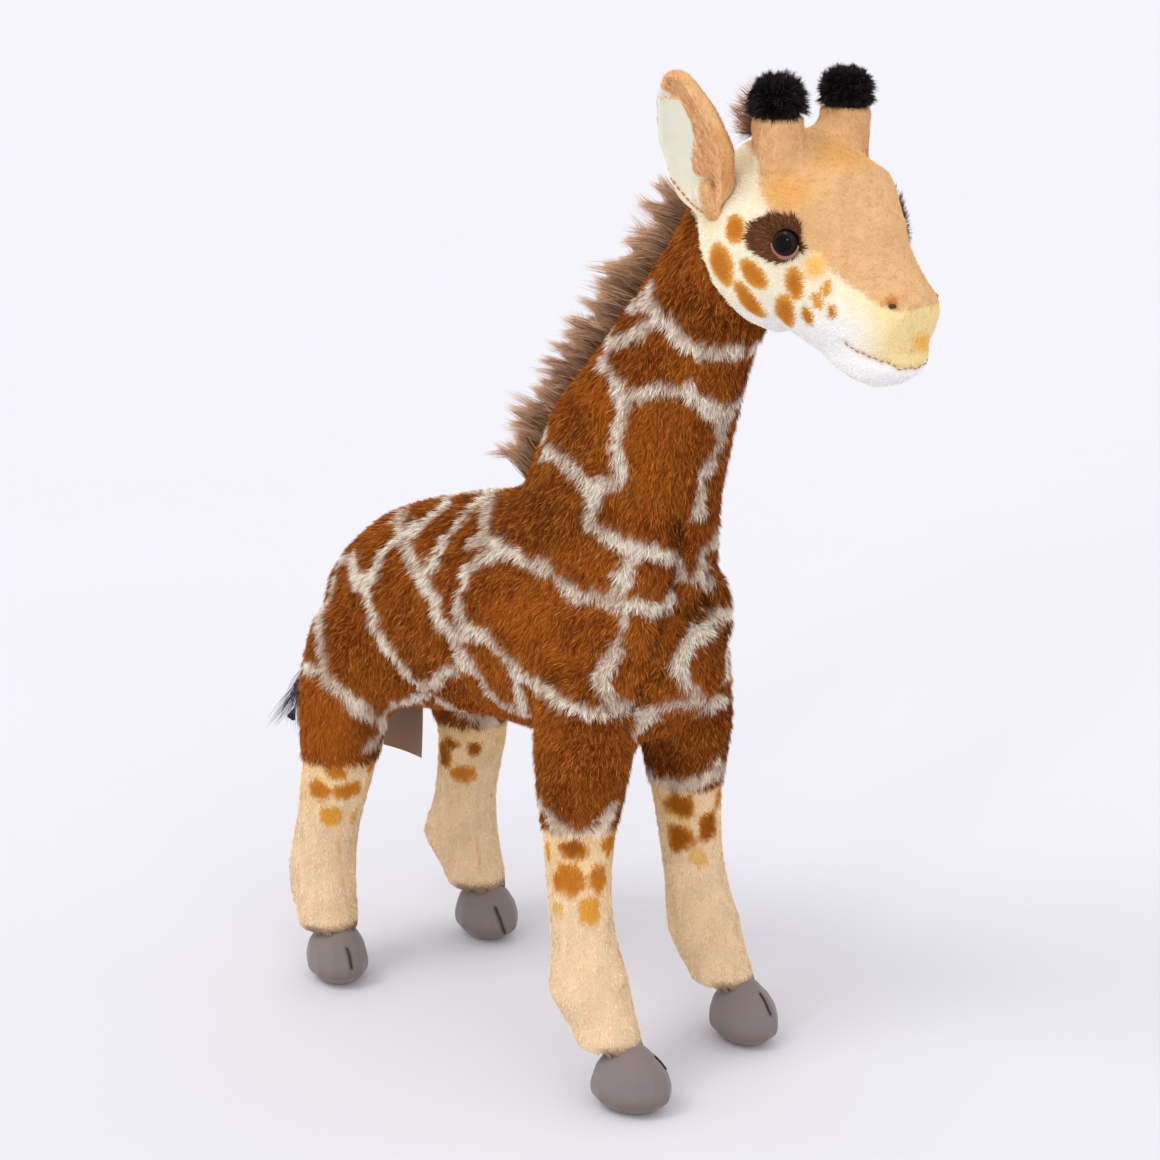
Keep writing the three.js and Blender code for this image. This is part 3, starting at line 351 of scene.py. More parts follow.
def set_colours(mesh, colours):
    attribute = mesh.color_attributes.new("coat", "FLOAT_COLOR", "POINT")
    rgba = np.ones((len(mesh.vertices), 4), np.float32)
    rgba[:, :3] = colours
    attribute.data.foreach_set("color", rgba.ravel())


def rings_of_faces(start, rows, sides):
    """The faces between closed rings of points that follow each other."""
    for row in range(rows):
        for k in range(sides):
            a, b = start + row * sides + k, start + row * sides + (k + 1) % sides
            yield [a, b, b + sides, a + sides]


def tubes(name, strands, sides=6):
    """One mesh of round threads; each strand is its points and a radius for each point."""
    verts, faces = [], []
    for path, radii in strands:
        start = len(verts)
        last = len(path) - 1
        for i, place in enumerate(path):
            along = (path[min(i + 1, last)] - path[max(i - 1, 0)]).normalized()
            side = along.orthogonal() if i == 0 else side - along * side.dot(along)
            side.normalize()
            lift = along.cross(side)
            for k in range(sides):
                angle = 2 * math.pi * k / sides
                verts.append(place + (side * math.cos(angle) + lift * math.sin(angle)) * radii[i])
        faces += rings_of_faces(start, last, sides)
        faces.append([start + k for k in reversed(range(sides))])
        faces.append([start + last * sides + k for k in range(sides)])
    return new_piece(name, mesh_from(name, verts, faces))


def evenly(path, step):
    """Places along a path, a step apart."""
    points = np.array(path)
    lengths = np.concatenate([[0], np.cumsum(np.linalg.norm(np.diff(points, axis=0), axis=1))])
    spots = np.linspace(0, lengths[-1], max(2, int(lengths[-1] / step) + 1))
    return [Vector([np.interp(s, lengths, points[:, k]) for k in range(3)]) for s in spots]


STITCH_STEPS = 6
STITCH_SHARE = 0.8  # of each step that the thread shows


def stitches(path, length, radius):
    """Short threads in a row along a path, each swelling in the middle."""
    fine = evenly(path, length / STITCH_STEPS)
    count = int(STITCH_STEPS * STITCH_SHARE) + 1
    swell = [radius * (0.6 + 0.4 * math.sin(math.pi * i / (count - 1))) for i in range(count)]
    return [(fine[start:start + count], swell) for start in range(0, len(fine) - STITCH_STEPS, STITCH_STEPS)]


# Pile: each hair is a thin ribbon of quads and a tip, on its own cell of the UV map

CELL_UP = (0.1, 0.9)  # how much of its cell a hair takes up
CELL_ACROSS = (0.2, 0.8)


def sampled(mesh, density, rng):
    """Seeded places on the mesh, so many to the square metre, with the normal at each."""
    mesh.calc_loop_triangles()
    corners = np.empty(len(mesh.loop_triangles) * 3, np.int32)
    mesh.loop_triangles.foreach_get("vertices", corners)
    corners = corners.reshape(-1, 3)
    points, normals = points_of(mesh), normals_of(mesh)
    a, b, c = (points[corners[:, i]] for i in range(3))
    areas = np.linalg.norm(np.cross(b - a, c - a), axis=1) / 2
    count = int(areas.sum() * density)
    chosen = rng.choice(len(corners), count, p=areas / areas.sum())
    u, v = rng.random((2, count))
    flip = u + v > 1
    u[flip], v[flip] = 1 - u[flip], 1 - v[flip]
    weights = np.stack([1 - u - v, u, v], 1)
    place = np.einsum("ij,ijk->ik", weights, points[corners[chosen]])
    normal = np.einsum("ij,ijk->ik", weights, normals[corners[chosen]])
    return place, unit(normal)


def ribbons(name, lines, sides, colours):
    """Hairs as one mesh: each has its line of points, half widths along it, and a colour at each point."""
    hairs, steps = lines.shape[:2]
    left, right = lines - sides, lines + sides
    pairs = np.stack([left[:, :-1], right[:, :-1]], 2).reshape(hairs, -1, 3)
    verts = np.concatenate([pairs, lines[:, -1:]], 1)
    size = verts.shape[1]
    quads = [[2 * i, 2 * i + 1, 2 * i + 3, 2 * i + 2] for i in range(steps - 2)]
    corner_list = [c for quad in quads for c in quad] + [size - 3, size - 2, size - 1]
    totals = [4] * len(quads) + [3]
    mesh = bpy.data.meshes.new(name)
    mesh.vertices.add(hairs * size)
    mesh.vertices.foreach_set("co", verts.astype(np.float32).ravel())
    loops = (np.arange(hairs)[:, None] * size + np.array(corner_list)).ravel()
    mesh.loops.add(len(loops))
    mesh.loops.foreach_set("vertex_index", loops.astype(np.int32))
    starts = np.concatenate([[0], np.cumsum(np.tile(totals, hairs))[:-1]])
    mesh.polygons.add(len(starts))
    mesh.polygons.foreach_set("loop_start", starts.astype(np.int32))
    mesh.polygons.foreach_set("use_smooth", np.ones(len(starts), bool))
    mesh.update(calc_edges=True)
    tints = np.repeat(colours[:, :-1], 2, axis=1)
    set_colours(mesh, np.concatenate([tints, colours[:, -1:]], 1).reshape(-1, 3))
    cells = int(math.ceil(math.sqrt(hairs)))
    index = np.arange(hairs)
    corner = np.stack([index % cells, index // cells], 1) / cells
    up = np.repeat(np.linspace(*CELL_UP, steps)[:-1], 2)
    across = np.tile(CELL_ACROSS, steps - 1)
    shape = np.stack([np.append(across, 0.5), np.append(up, CELL_UP[1])], 1) / cells
    spots = (corner[:, None] + shape[None, corner_list]).reshape(-1, 2)
    layer = mesh.uv_layers.new(name="OFBake")
    layer.data.foreach_set("uv", spots.astype(np.float32).ravel())
    return new_object(name, mesh)


# A look says how dense, long, wide and raised the pile is, how it is combed, and its colour
PILE_LOOK = {
    "clump": 3 * MM, "sway": 1, "speckle": 0.14, "root_shade": 0.62, "tip_shade": 1.12,
    "keep": lambda points: np.ones(len(points), bool),
}
ROOT_DEPTH = 0.6 * MM
SWAY = (0.35, 0.25, 0.16)  # over wide waves, over fine ones and from hair to hair
TOUSLE = (0.35, 0.25)  # of the lift, over waves and from hair to hair
LIFT_LIMITS = (0.08, 2.5)
LENGTHS = (0.7, 1.25)  # from the shortest to the longest hair, in shares of the look's length
WIDTHS = (0.7, 1.3)
BEND = (0.55, 0.45)  # the shares of a hair below its bend and above it
DROOP = 0.8  # how far a hair leans along the lay above its bend
TWIST = 0.3
SHADES = (0.5, 1.6)  # the darkest and lightest hair
CORE_VOXEL = 1.5 * MM
SPRAY = 0.5 * MM  # how far the edges of the sprayed spots scatter


def combed(*way):
    """The same way for every hair."""
    return lambda points, normals: np.tile(np.array(way, float), (len(points), 1))


def short_pile(name, skin, look, seed):
    """Short combed pile over a skin."""
    rng = np.random.default_rng(seed)
    roots, normals = sampled(skin.data, look["density"], rng)
    kept = look["keep"](roots)
    roots, normals = roots[kept], normals[kept]
    count = len(roots)
    comb = look["comb"](roots, normals)
    lay = unit(comb - normals * np.sum(comb * normals, 1, keepdims=True))
    cross = np.cross(normals, lay)
    clump = look["clump"]
    sway = wavy(roots, clump * 3, seed + 1) * SWAY[0] + wavy(roots, clump, seed + 2) * SWAY[1]
    sway = sway * look["sway"] + rng.normal(0, SWAY[2], count)
    lay = unit(lay + cross * sway[:, None])
    tousled = TOUSLE[0] * wavy(roots, clump * 1.6, seed + 3) * look["sway"]
    lift = look["lift"] * (1 + tousled + rng.normal(0, TOUSLE[1], count))
    way = unit(lay + normals * np.clip(lift, *LIFT_LIMITS)[:, None])
    length = look["length"](roots) if callable(look["length"]) else np.full(count, look["length"])
    length = (length * rng.uniform(*LENGTHS, count))[:, None]
    droop = unit(way + lay * DROOP)
    sunk = roots - normals * ROOT_DEPTH
    halfway = sunk + way * length * BEND[0]
    lines = np.stack([sunk, halfway, halfway + droop * length * BEND[1]], 1)
    side = unit(np.cross(way, normals) + normals * rng.normal(0, TWIST, (count, 1)))
    half = look["width"] / 2 * rng.uniform(*WIDTHS, (count, 1))
    sides = np.stack([side * half, side * half * 0.75, side * 0], 1)
    colour = look["colour"](roots, normals, rng)
    shade = 1 + rng.normal(0, look["speckle"], (count, 1))
    colour = np.clip(colour * np.clip(shade, *SHADES), 0, 1)
    colours = np.stack([colour * look["root_shade"], colour, colour * look["tip_shade"]], 1)
    return ribbons(name, lines, sides, np.clip(colours, 0, 1))


# How long hair is gathered into locks, unless a look says otherwise
HAIR_LOOK = {
    "lock": 30, "stray": 0.3, "shortest": 0.7, "steps": 6, "droop": 0.1, "gather": 0.5,
    "width": 0.4 * MM, "root": MANE_ROOT, "tip": MANE_TIP, "trim": lambda places: np.ones(len(places)),
}


def long_hair(name, roots, ways, look, seed):
    """Long hairs gathered into tapering locks; ways is the direction of each hair."""
    look = dict(HAIR_LOOK, **look)
    rng = np.random.default_rng(seed)
    count = len(roots)
    heads = rng.choice(count, max(1, count // look["lock"]), replace=False)
    lock = nearest_index(roots[heads], roots)
    lock_way = unit(ways[heads] + rng.normal(0, look["stray"], (len(heads), 3)))
    own_way = unit(ways + rng.normal(0, look["stray"] / 2, (count, 3)))
    lock_length = look["length"] * rng.uniform(look["shortest"], 1.15, len(heads))
    length = (lock_length[lock] * rng.uniform(0.8, 1.05, count))[:, None]
    length *= look["trim"](roots)[:, None]
    steps = np.linspace(0, 1, look["steps"])
    fall = np.array([0, 0, -look["droop"]])
    lines = []
    for t in steps:
        bent = fall * length * t * t
        own = roots + own_way * length * t + bent
        shared = roots[heads][lock] + lock_way[lock] * length * t + bent
        pull = look["gather"] * t**1.2
        lines.append(own * (1 - pull) + shared * pull)
    side = unit(np.cross(own_way, rng.normal(size=(count, 3))))
    half = look["width"] / 2 * (1 - 0.65 * steps)
    sides = side[:, None, :] * half[None, :, None]
    fade = np.clip(steps[None, :] ** look["fade"] + rng.normal(0, 0.12, (count, 1)), 0, 1)[..., None]
    shade = np.clip(1 + rng.normal(0, 0.15, (count, 1)), *SHADES)
    colours = (linear(look["root"]) * (1 - fade) + linear(look["tip"]) * fade) * shade[..., None]
    return ribbons(name, np.stack(lines, 1), sides, np.clip(colours, 0, 1))


# Materials


class Surface:
    """A new material: its shader, and the nodes that feed it."""

    def __init__(self, name, roughness, specular):
        self.material = bpy.data.materials.new(name)
        self.material.use_nodes = True
        self.tree = self.material.node_tree
        self.shader = self.tree.nodes["Principled BSDF"]
        self.feed(self.shader, {"Roughness": roughness, "Specular IOR Level": specular})

    def feed(self, node, inputs):
        """Gives a node its inputs: plain values, or outputs of other nodes."""
        for name, value in inputs.items():
            if isinstance(value, bpy.types.NodeSocket):
                self.tree.links.new(value, node.inputs[name])
            else:
                node.inputs[name].default_value = value

    def add(self, kind, inputs, **settings):
        node = self.tree.nodes.new(f"ShaderNode{kind}")
        for name, value in settings.items():
            setattr(node, name, value)
        self.feed(node, inputs)
        return node

    def place(self):
        return self.add("NewGeometry", {}).outputs["Position"]

    def noise(self, scale, detail):
        return self.add("TexNoise", {"Scale": scale, "Detail": detail, "Vector": self.place()}).outputs["Fac"]

    def ramp(self, share, stops):
        """A colour that runs between two stops, each a position and a colour."""
        node = self.add("ValToRGB", {"Fac": share})
        for element, (position, colour) in zip(node.color_ramp.elements, stops):
            element.position = position
            element.color = (*np.minimum(colour, 1), 1)
        self.feed(self.shader, {"Base Color": node.outputs["Color"]})

    def bump(self, height, strength, reach):
        node = self.add("Bump", {"Strength": strength, "Distance": reach, "Height": height})
        self.feed(self.shader, {"Normal": node.outputs["Normal"]})


def coat_material(name, roughness, sheen, fine, bump, contrast=0.18, specular=0.25, coat=None):
    """Pile or cloth whose colour is painted on its points, with fine mottling and bump."""
    made = Surface(name, roughness, specular)
    made.feed(made.shader, {"Sheen Weight": sheen, "Sheen Roughness": 0.5, **(coat or {})})
    paint = made.add("VertexColor", {}, layer_name="coat")
    mottling = made.noise(fine, 3)
    spread = made.add("MapRange", {"Value": mottling, "To Min": 1 - contrast, "To Max": 1 + contrast})
    inputs = {0: paint.outputs["Color"], "Scale": spread.outputs["Result"]}
    mottled = made.add("VectorMath", inputs, operation="SCALE")
    made.feed(made.shader, {"Base Color": mottled.outputs["Vector"]})
    if bump:
        made.bump(mottling, 0.5, bump)
    return made.material


def plain_material(name, colour, roughness, fine=900, contrast=0.15, bump=0.2 * MM, metal=0):
    """One colour with procedural mottling and bump."""
    made = Surface(name, roughness, 0.4)
    made.feed(made.shader, {"Metallic": metal})
    mottling = made.noise(fine, 4)
    base = linear(colour)
    made.ramp(mottling, ((0.3, base * (1 - contrast)), (0.7, base * (1 + contrast))))
    if bump:
        made.bump(mottling, 0.4, bump)
    return made.material


def woven_material(name, colour, thread_width, slub=1.5, relief=0.3 * MM):
    """Plain woven cloth: two sets of threads, with some slub."""
    made = Surface(name, 0.85, 0.2)
    scale = 1 / (thread_width * 2 * math.pi)
    inputs = {"Scale": scale, "Distortion": slub, "Vector": made.place()}
    heights = [made.add("TexWave", inputs, bands_direction=way).outputs["Fac"] for way in ("X", "Z")]
    both = made.add("Math", dict(enumerate(heights)), operation="ADD").outputs["Value"]
    made.ramp(both, ((0, linear(colour) * 0.75), (1, linear(colour) * 1.15)))
    made.bump(both, 0.5, relief)
    return made.material


plush = coat_material("plush", roughness=0.9, sheen=0, fine=700, bump=0, specular=0.06)
velour = coat_material("velour", roughness=0.9, sheen=0.05, fine=500, bump=0, contrast=0.06, specular=0.1)
hair = coat_material("hair", roughness=0.6, sheen=0, fine=500, bump=0, specular=0.2)
backing = coat_material("backing", roughness=0.95, sheen=0, fine=900, bump=0.4 * MM, specular=0.05)
suede = coat_material("suede", roughness=0.8, sheen=0.25, fine=1500, bump=0.15 * MM, contrast=0.1)
thread = coat_material("thread", roughness=0.7, sheen=0.1, fine=2500, bump=0.1 * MM, contrast=0.25)
cloth = woven_material("label cloth", LABEL, 0.35 * MM)
eye_plastic = coat_material(
    "eye plastic", roughness=0.35, sheen=0, fine=300, bump=0, contrast=0.06, specular=0.02,
    coat={"Coat Weight": 0.2, "Coat Roughness": 0.03},
)


def dress(obj, material):
    obj.data.materials.clear()
    obj.data.materials.append(material)
    return obj


def painted(obj, colours, material):
    """Paints every point of the piece, in one colour or one for each, and gives it its material."""
    set_colours(obj.data, np.broadcast_to(colours, (len(obj.data.vertices), 3)))
    return dress(obj, material)


# Places on bodies: the parts that a piece stands for are hidden, and the piece rides on its body


def placed(piece, slot_name, body, *replaced):
    if replaced:
        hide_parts(*replaced)
    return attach(piece, body)


def pile_on(name, skin, look, seed, material, slot_name, body):
    return placed(dress(short_pile(name, skin, look, seed), material), slot_name, body)


def hair_core(name, node, inset, colour, slot_name, body, rounds=6):
    """The firm middle of a tuft."""
    core = new_piece(name, smooth_copy([node], CORE_VOXEL, rounds, -inset))
    return placed(painted(core, linear(colour), backing), slot_name, body, node)


def hair_on(name, roots, ways, look, seed, slot_name, body):
    return placed(dress(long_hair(name, roots, ways, look, seed), hair), slot_name, body)


# The cloth under the pile, by slot: the seed of its colours, how dark it is and how full its stuffing
CLOTH = {"fur": (5, 0.75, 0.8), "face": (6, 0.85, 0.9)}


def cloth_piece(name, mesh, keep, slot_name, colour, replaced):
    """A part of a skin, painted as its pile is but darker."""
    seed, shade, fill = CLOTH[slot_name]
    piece = kept_faces(mesh, keep, name)
    points, normals = points_of(piece.data), normals_of(piece.data)
    painted(piece, colour(points, normals, np.random.default_rng(seed)) * shade, backing)
    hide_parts(*replaced)
    return piece


def curve(places):
    """The line through these places, as a function from the first number of each to the second."""
    order = np.argsort(places[:, 0])
    return lambda along: np.interp(along, places[order, 0], places[order, 1])


# Where the limbs are, from the frame

LEGS = ["front_right", "front_left", "rear_right", "rear_left"]
SIDES = (("right", -1), ("left", 1))
mid_y = NECK_HINGE.y  # the toy's plane of symmetry


def middle(node):
    low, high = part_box(node)
    return (low + high) / 2


def mirrored(places):
    return [Vector((p.x, 2 * mid_y - p.y, p.z)) for p in places]


def on_side(sign):
    return lambda points: (points[:, 1] - mid_y) * sign >= 0


NEARING_ROUNDS = 4


def on_skin(tree, pixel):
    """The place on the skin that the camera sees at a pixel, or the nearest one beside it."""
    ray = pixel_ray(pixel)
    hit = tree.ray_cast(CAMERA_PLACE, ray)[0]
    if hit is None:
        guess = CAMERA_PLACE + ray * CAMERA_PLACE.length
        for _ in range(NEARING_ROUNDS):
            near = tree.find_nearest(guess)[0]
            guess = CAMERA_PLACE + ray * (near - CAMERA_PLACE).dot(ray)
        hit = near
    return hit


def traced(tree, pixels, step=3):
    """Places along a line of pixels, a few pixels apart."""
    found = []
    for a, b in zip(pixels, pixels[1:]):
        count = max(1, int(math.dist(a, b) / step))
        for i in range(count + 1):
            share = i / count
            pixel = (a[0] + (b[0] - a[0]) * share, a[1] + (b[1] - a[1]) * share)
            found.append(on_skin(tree, pixel))
    return found


# Skins of the body

BODY_VOXEL = 2.6 * MM
BODY_CLOSING = 10 * MM
body_nodes = ["torso_cover", "torso_stuffing", "neck_cover", "neck_stuffing"]
body_nodes += [f"{part}_{leg}" for leg in LEGS for part in ("upper_leg", "lower_leg", "hoof")]
body_mesh = closed_skin(body_nodes, BODY_VOXEL, BODY_CLOSING, rounds=8)
body_tree = tree_of(body_mesh)

# Soft folds in the cover, traced in the photograph, with depth and reach
FOLDS = (
    (
        [(681, 524), (682, 546), (682, 569), (674, 592), (666, 618), (656, 655), (646, 686), (638, 712)],
        7 * MM, 6 * MM,
    ),
    ([(702, 602), (694, 616), (682, 634), (672, 656), (665, 678)], 4 * MM, 6 * MM),
)
FOLD_SHADE = 0.55  # painted shade: how much darker the pile is painted down in a fold
FOLD_SHADE_REACH = 5.5 * MM
# Where the stuffing swells the cover, with height and reach: the heels
SWELLS = (((565, 988), 7 * MM, 15 * MM), ((434, 830), 6 * MM, 15 * MM))
WITHERS = NECK_HINGE + Vector((-93, 0, 2)) * MM  # where the neck runs into the back, in a soft curve
WITHERS_REACH = 60 * MM
WITHERS_CLOSING = 48 * MM
WITHERS_ROUNDS = 12
WITHERS_VOXEL = 4 * MM


def near_share(points, place, reach):
    """1 at this place, falling to 0 beyond the reach."""
    return np.exp(-((away_from(place, points) / reach) ** 4))


def softened(mesh, place, reach, rounds):
    """The mesh smoothed round this place."""
    points = points_of(mesh)
    soft = points_of(smoothed(mesh.copy(), rounds))
    return move_points(mesh, mixed(points, soft, near_share(points, place, reach)))


def filled(mesh, place, reach, closing):
    """The body raised, round this place, to a skin with wider corners closed."""
    wide = tree_of(closed_skin(["torso_cover", "neck_cover"], WITHERS_VOXEL, closing, rounds=4))
    points = points_of(mesh)
    raised = points.copy()
    share = near_share(points, place, reach)
    for i in np.flatnonzero(share > 0.01):
        near, normal, _, _ = wide.find_nearest(Vector(points[i]))
        if (near - Vector(points[i])).dot(normal) > 0:
            raised[i] = near
    return move_points(mesh, mixed(points, raised, share))


def folded(mesh, tree):
    """The skin with its folds, and a finder of the places down in them."""
    places = []
    for pixels, depth, reach in FOLDS:
        line = traced(tree, pixels)
        line += mirrored(line)
        places += [place - tree.find_nearest(place)[1] * depth for place in line]
        mesh = pressed(mesh, line, depth, reach)
    return mesh, finder_of(places)


body_mesh, fold_finder = folded(body_mesh, body_tree)
body_mesh = filled(body_mesh, WITHERS, WITHERS_REACH, WITHERS_CLOSING)
body_mesh = softened(body_mesh, WITHERS, WITHERS_REACH, WITHERS_ROUNDS)
for pixel, height, reach in SWELLS:
    body_mesh = pressed(body_mesh, [on_skin(body_tree, pixel)], -height, reach)
body_tree = tree_of(body_mesh)

LEG_START = 205 * MM  # above this the thigh's skin belongs to the torso
LEG_END = 37 * MM
CHEST = NECK_HINGE + Vector((104, 0, -34)) * MM
neck_seam = (CHEST - WITHERS).normalized()
neck_up = Vector((-neck_seam.z, 0, neck_seam.x))
LEG_HALF_LENGTH = 75 * MM
LEG_SPACING = 6 * MM  # from the middle of the belly to the skin of the legs


def above_neck_seam(points):
    return (points - np.array(WITHERS)) @ np.array(neck_up)


def leg_area(leg, end=0):
    hip, foot = JOINTS[f"leg_bend_{leg}"], middle(f"lower_leg_{leg}")

    def inside(points):
        height = (points[:, 2] < LEG_START) & (points[:, 2] > end)
        same_end = np.abs(points[:, 0] - (hip.x + foot.x) / 2) < LEG_HALF_LENGTH
        same_side = (points[:, 1] - mid_y) * np.sign(hip.y - mid_y) > LEG_SPACING
        return height & same_end & same_side

    return inside


def torso_area(points):
    outside = above_neck_seam(points) < 0
    for leg in LEGS:
        outside &= ~leg_area(leg)(points)
    return outside


# The pale lines between the patches of the coat, as the photograph shows them, in its pixels
COAT_LINES = {
    "throat": [
        (612, 342), (632, 333), (650, 321), (661, 316), (675, 327), (687, 338), (702, 347), (721, 348),
        (737, 347),
    ],
    "crest": [(653, 284), (652, 296), (657, 308), (661, 317)],
    "crest spot": [(636, 302), (650, 298)],
    "nape": [
        (606, 358), (613, 371), (622, 382), (621, 397), (625, 411), (620, 430), (619, 440), (621, 456),
        (621, 474), (610, 481), (596, 486),
    ],
    "neck band": [
        (622, 398), (635, 393), (647, 388), (658, 384), (670, 383), (687, 386), (699, 397), (713, 405),
        (724, 411),
    ],
    "mane foot": [
        (548, 448), (551, 447), (560, 456), (576, 465), (587, 479), (596, 486), (597, 500),
        (594, 520), (603, 531), (623, 540), (641, 545), (664, 550), (678, 556),
    ],
    "withers": [(495, 491), (492, 511), (488, 531), (481, 539)],
    "shoulder": [
        (478, 539), (498, 540), (516, 549), (534, 563), (555, 566), (564, 581), (580, 590), (596, 591),
        (612, 595), (626, 607), (625, 620), (623, 635), (612, 655), (600, 675), (606, 690), (612, 703),
    ],
    "shoulder link": [(612, 595), (623, 578), (630, 563), (637, 549)],
    "back": [
        (456, 493), (447, 509), (433, 518), (419, 531), (404, 536), (390, 545), (381, 559), (376, 577),
        (361, 581), (358, 570), (356, 556),
    ],
    "croup": [(404, 536), (406, 511)],
    "hind flank": [
        (376, 577), (370, 591), (376, 609), (376, 624), (386, 641), (401, 659), (411, 675), (419, 682),
        (433, 682), (447, 670), (460, 663),
    ],
    "flank": [
        (404, 536), (413, 554), (424, 570), (429, 586), (440, 599), (438, 613), (447, 625), (458, 636),
        (463, 650), (460, 663),
    ],
    "belly": [(463, 656), (476, 666), (488, 684), (501, 700), (520, 707)],
    "loin": [(492, 497), (478, 506), (465, 518), (454, 531), (444, 547), (433, 565)],
    "ribs": [
        (501, 546), (483, 559), (470, 572), (463, 588), (461, 604), (467, 620), (474, 628), (486, 631),
        (504, 649), (519, 666), (520, 684), (524, 707),
    ],
    "ribs link": [(468, 625), (461, 636)],
    "elbow": [(520, 668), (532, 678), (554, 690), (571, 704), (593, 711), (607, 710), (629, 704)],
    "thigh": [
        (304, 666), (313, 664), (322, 668), (335, 679), (349, 695), (365, 709), (379, 716), (386, 721),
        (376, 734), (367, 746),
    ],
    "rump": [(324, 613), (322, 631), (324, 652), (324, 666)],
    "hind belly": [(379, 716), (397, 702), (415, 697), (429, 691), (451, 704), (476, 715), (492, 718)],
    "belly link": [(419, 682), (429, 691)],
    "knee outer": [(541, 800), (549, 810), (557, 820), (568, 832)],
    "knee inner": [(614, 801), (608, 815), (602, 824), (593, 833)],
}
CHEST_LINES = {
    "neck edge": [(724, 411), (720, 436), (711, 456), (702, 478), (700, 508)],
    "chest top": [(678, 556), (684, 572), (694, 575), (710, 581)],
    "throat foot": [(701, 552), (705, 563), (694, 575)],
    "chest spot": [(626, 607), (637, 604), (651, 609), (664, 602), (670, 595)],
    "chest": [
        (732, 609), (720, 611), (710, 618), (698, 631), (687, 641), (678, 656), (684, 672), (692, 684),
        (692, 697), (668, 702), (646, 713), (636, 728),
    ],
    "chest side": [(732, 609), (728, 641)],
    "chest foot": [(692, 697), (705, 699), (720, 698)],
    "far knee": [(651, 776), (670, 781), (691, 781), (700, 777), (713, 772), (724, 764)],
}
# Painted shade and light on the coat: where it is painted darker or lighter, as place and half sizes in
# pixels, and by how much
COAT_LIGHT_AND_SHADE = (
    ((552, 512), (70, 48), -0.42), ((700, 312), (40, 34), -0.35), ((592, 770), (60, 60), -0.25),
    ((700, 740), (50, 50), -0.2), ((330, 720), (50, 60), 0.25), ((520, 620), (60, 70), 0.15),
)
# Where the lines run on out of sight: millimetres from the tail's hinge and from the neck's
TAIL_HINGE = JOINTS["tail_swing"]
REAR_LINES = {
    "croup": (TAIL_HINGE, [(41, -42, 55), (23, -32, 47), (10, -14, 36), (6, 0, 32)]),
    "rump": (TAIL_HINGE, [(28, -59, 17), (21, -48, 28), (23, -32, 47)]),
    "tail head": (TAIL_HINGE, [(28, -59, 17), (8, -44, 8), (2, -26, 0), (0, -12, 6)]),
    "seat": (TAIL_HINGE, [(10, -62, -22), (3, -50, -28), (0, -36, -22), (0, -18, -16), (0, 0, -14)]),
    "ham": (TAIL_HINGE, [(3, -50, -28), (4, -44, -46), (8, -38, -64)]),
    "nape": (NECK_HINGE, [(27, -26, 116), (18, -18, 122), (14, -8, 126)]),
    "mane foot": (NECK_HINGE, [(-28, -36, 55), (-38, -24, 62), (-44, -10, 66)]),
    "spine": (NECK_HINGE, [(-93, 0, -6), (-104, 0, -14), (-120, 0, -20), (-140, 0, -28)]),
}
LINE_HALF_WIDTH = 4.2 * MM
LINE_FADE = 1.7 * MM
LINE_STEP = 2 * MM


def line_places(tree):
    places = []
    for pixels in COAT_LINES.values():
        line = traced(tree, pixels)
        places += line + mirrored(line)
    for pixels in CHEST_LINES.values():
        places += traced(tree, pixels)
    for origin, corners in REAR_LINES.values():
        line = evenly([origin + Vector(corner) * MM for corner in corners], LINE_STEP)
        line = [tree.find_nearest(place)[0] for place in line]
        places += line + mirrored(line)
    return places


coat_lines = finder_of(line_places(body_tree))


def in_blob(pixels, centre, halves, lean):
    """How far out each pixel is in an ellipse, where its rim is 1."""
    turn = math.radians(lean)
    away = pixels - np.array(centre)
    along = away @ [math.cos(turn), math.sin(turn)] / halves[0]
    across = away @ [-math.sin(turn), math.cos(turn)] / halves[1]
    return np.hypot(along, across)


SPOT_DEPTH = 14 * MM  # a spot stays on its own side of the skin
OUTSIDE = 9  # well past the rim of a spot, for places on another side


def in_spot(points, spot):
    """How far out each place is in a spot on the skin, where its rim is 1."""
    place, facing, halves, lean = spot
    across = camera_turn @ Vector((1, 0, 0))
    first = (across - facing * across.dot(facing)).normalized()
    second = facing.cross(first)
    shown = camera_turn @ Vector((0, 1, 0))
    away = points - np.array(place)
    size = pixel_size(place)
    x = away @ np.array(first) * first.dot(across) / size
    y = -away @ np.array(second) * second.dot(shown) / size
    out = in_blob(np.stack([x, y], 1), (0, 0), halves, lean)
    return np.where(np.abs(away @ np.array(facing)) < SPOT_DEPTH, out, OUTSIDE)


def near_side(points):
    """The points, with those of the far side mirrored to the near side."""
    points = points.copy()
    far = points[:, 1] > mid_y
    points[far, 1] = 2 * mid_y - points[far, 1]
    return points


LINE_WANDER = {"ragged": 0.9 * MM, "wander": 0.8 * MM}  # how far the edges of the lines wander
LINE_SCATTER = 0.6 * MM  # and how far hairs cross them
LIGHT_HAIRS = 0.28  # the share of hairs that catch the light


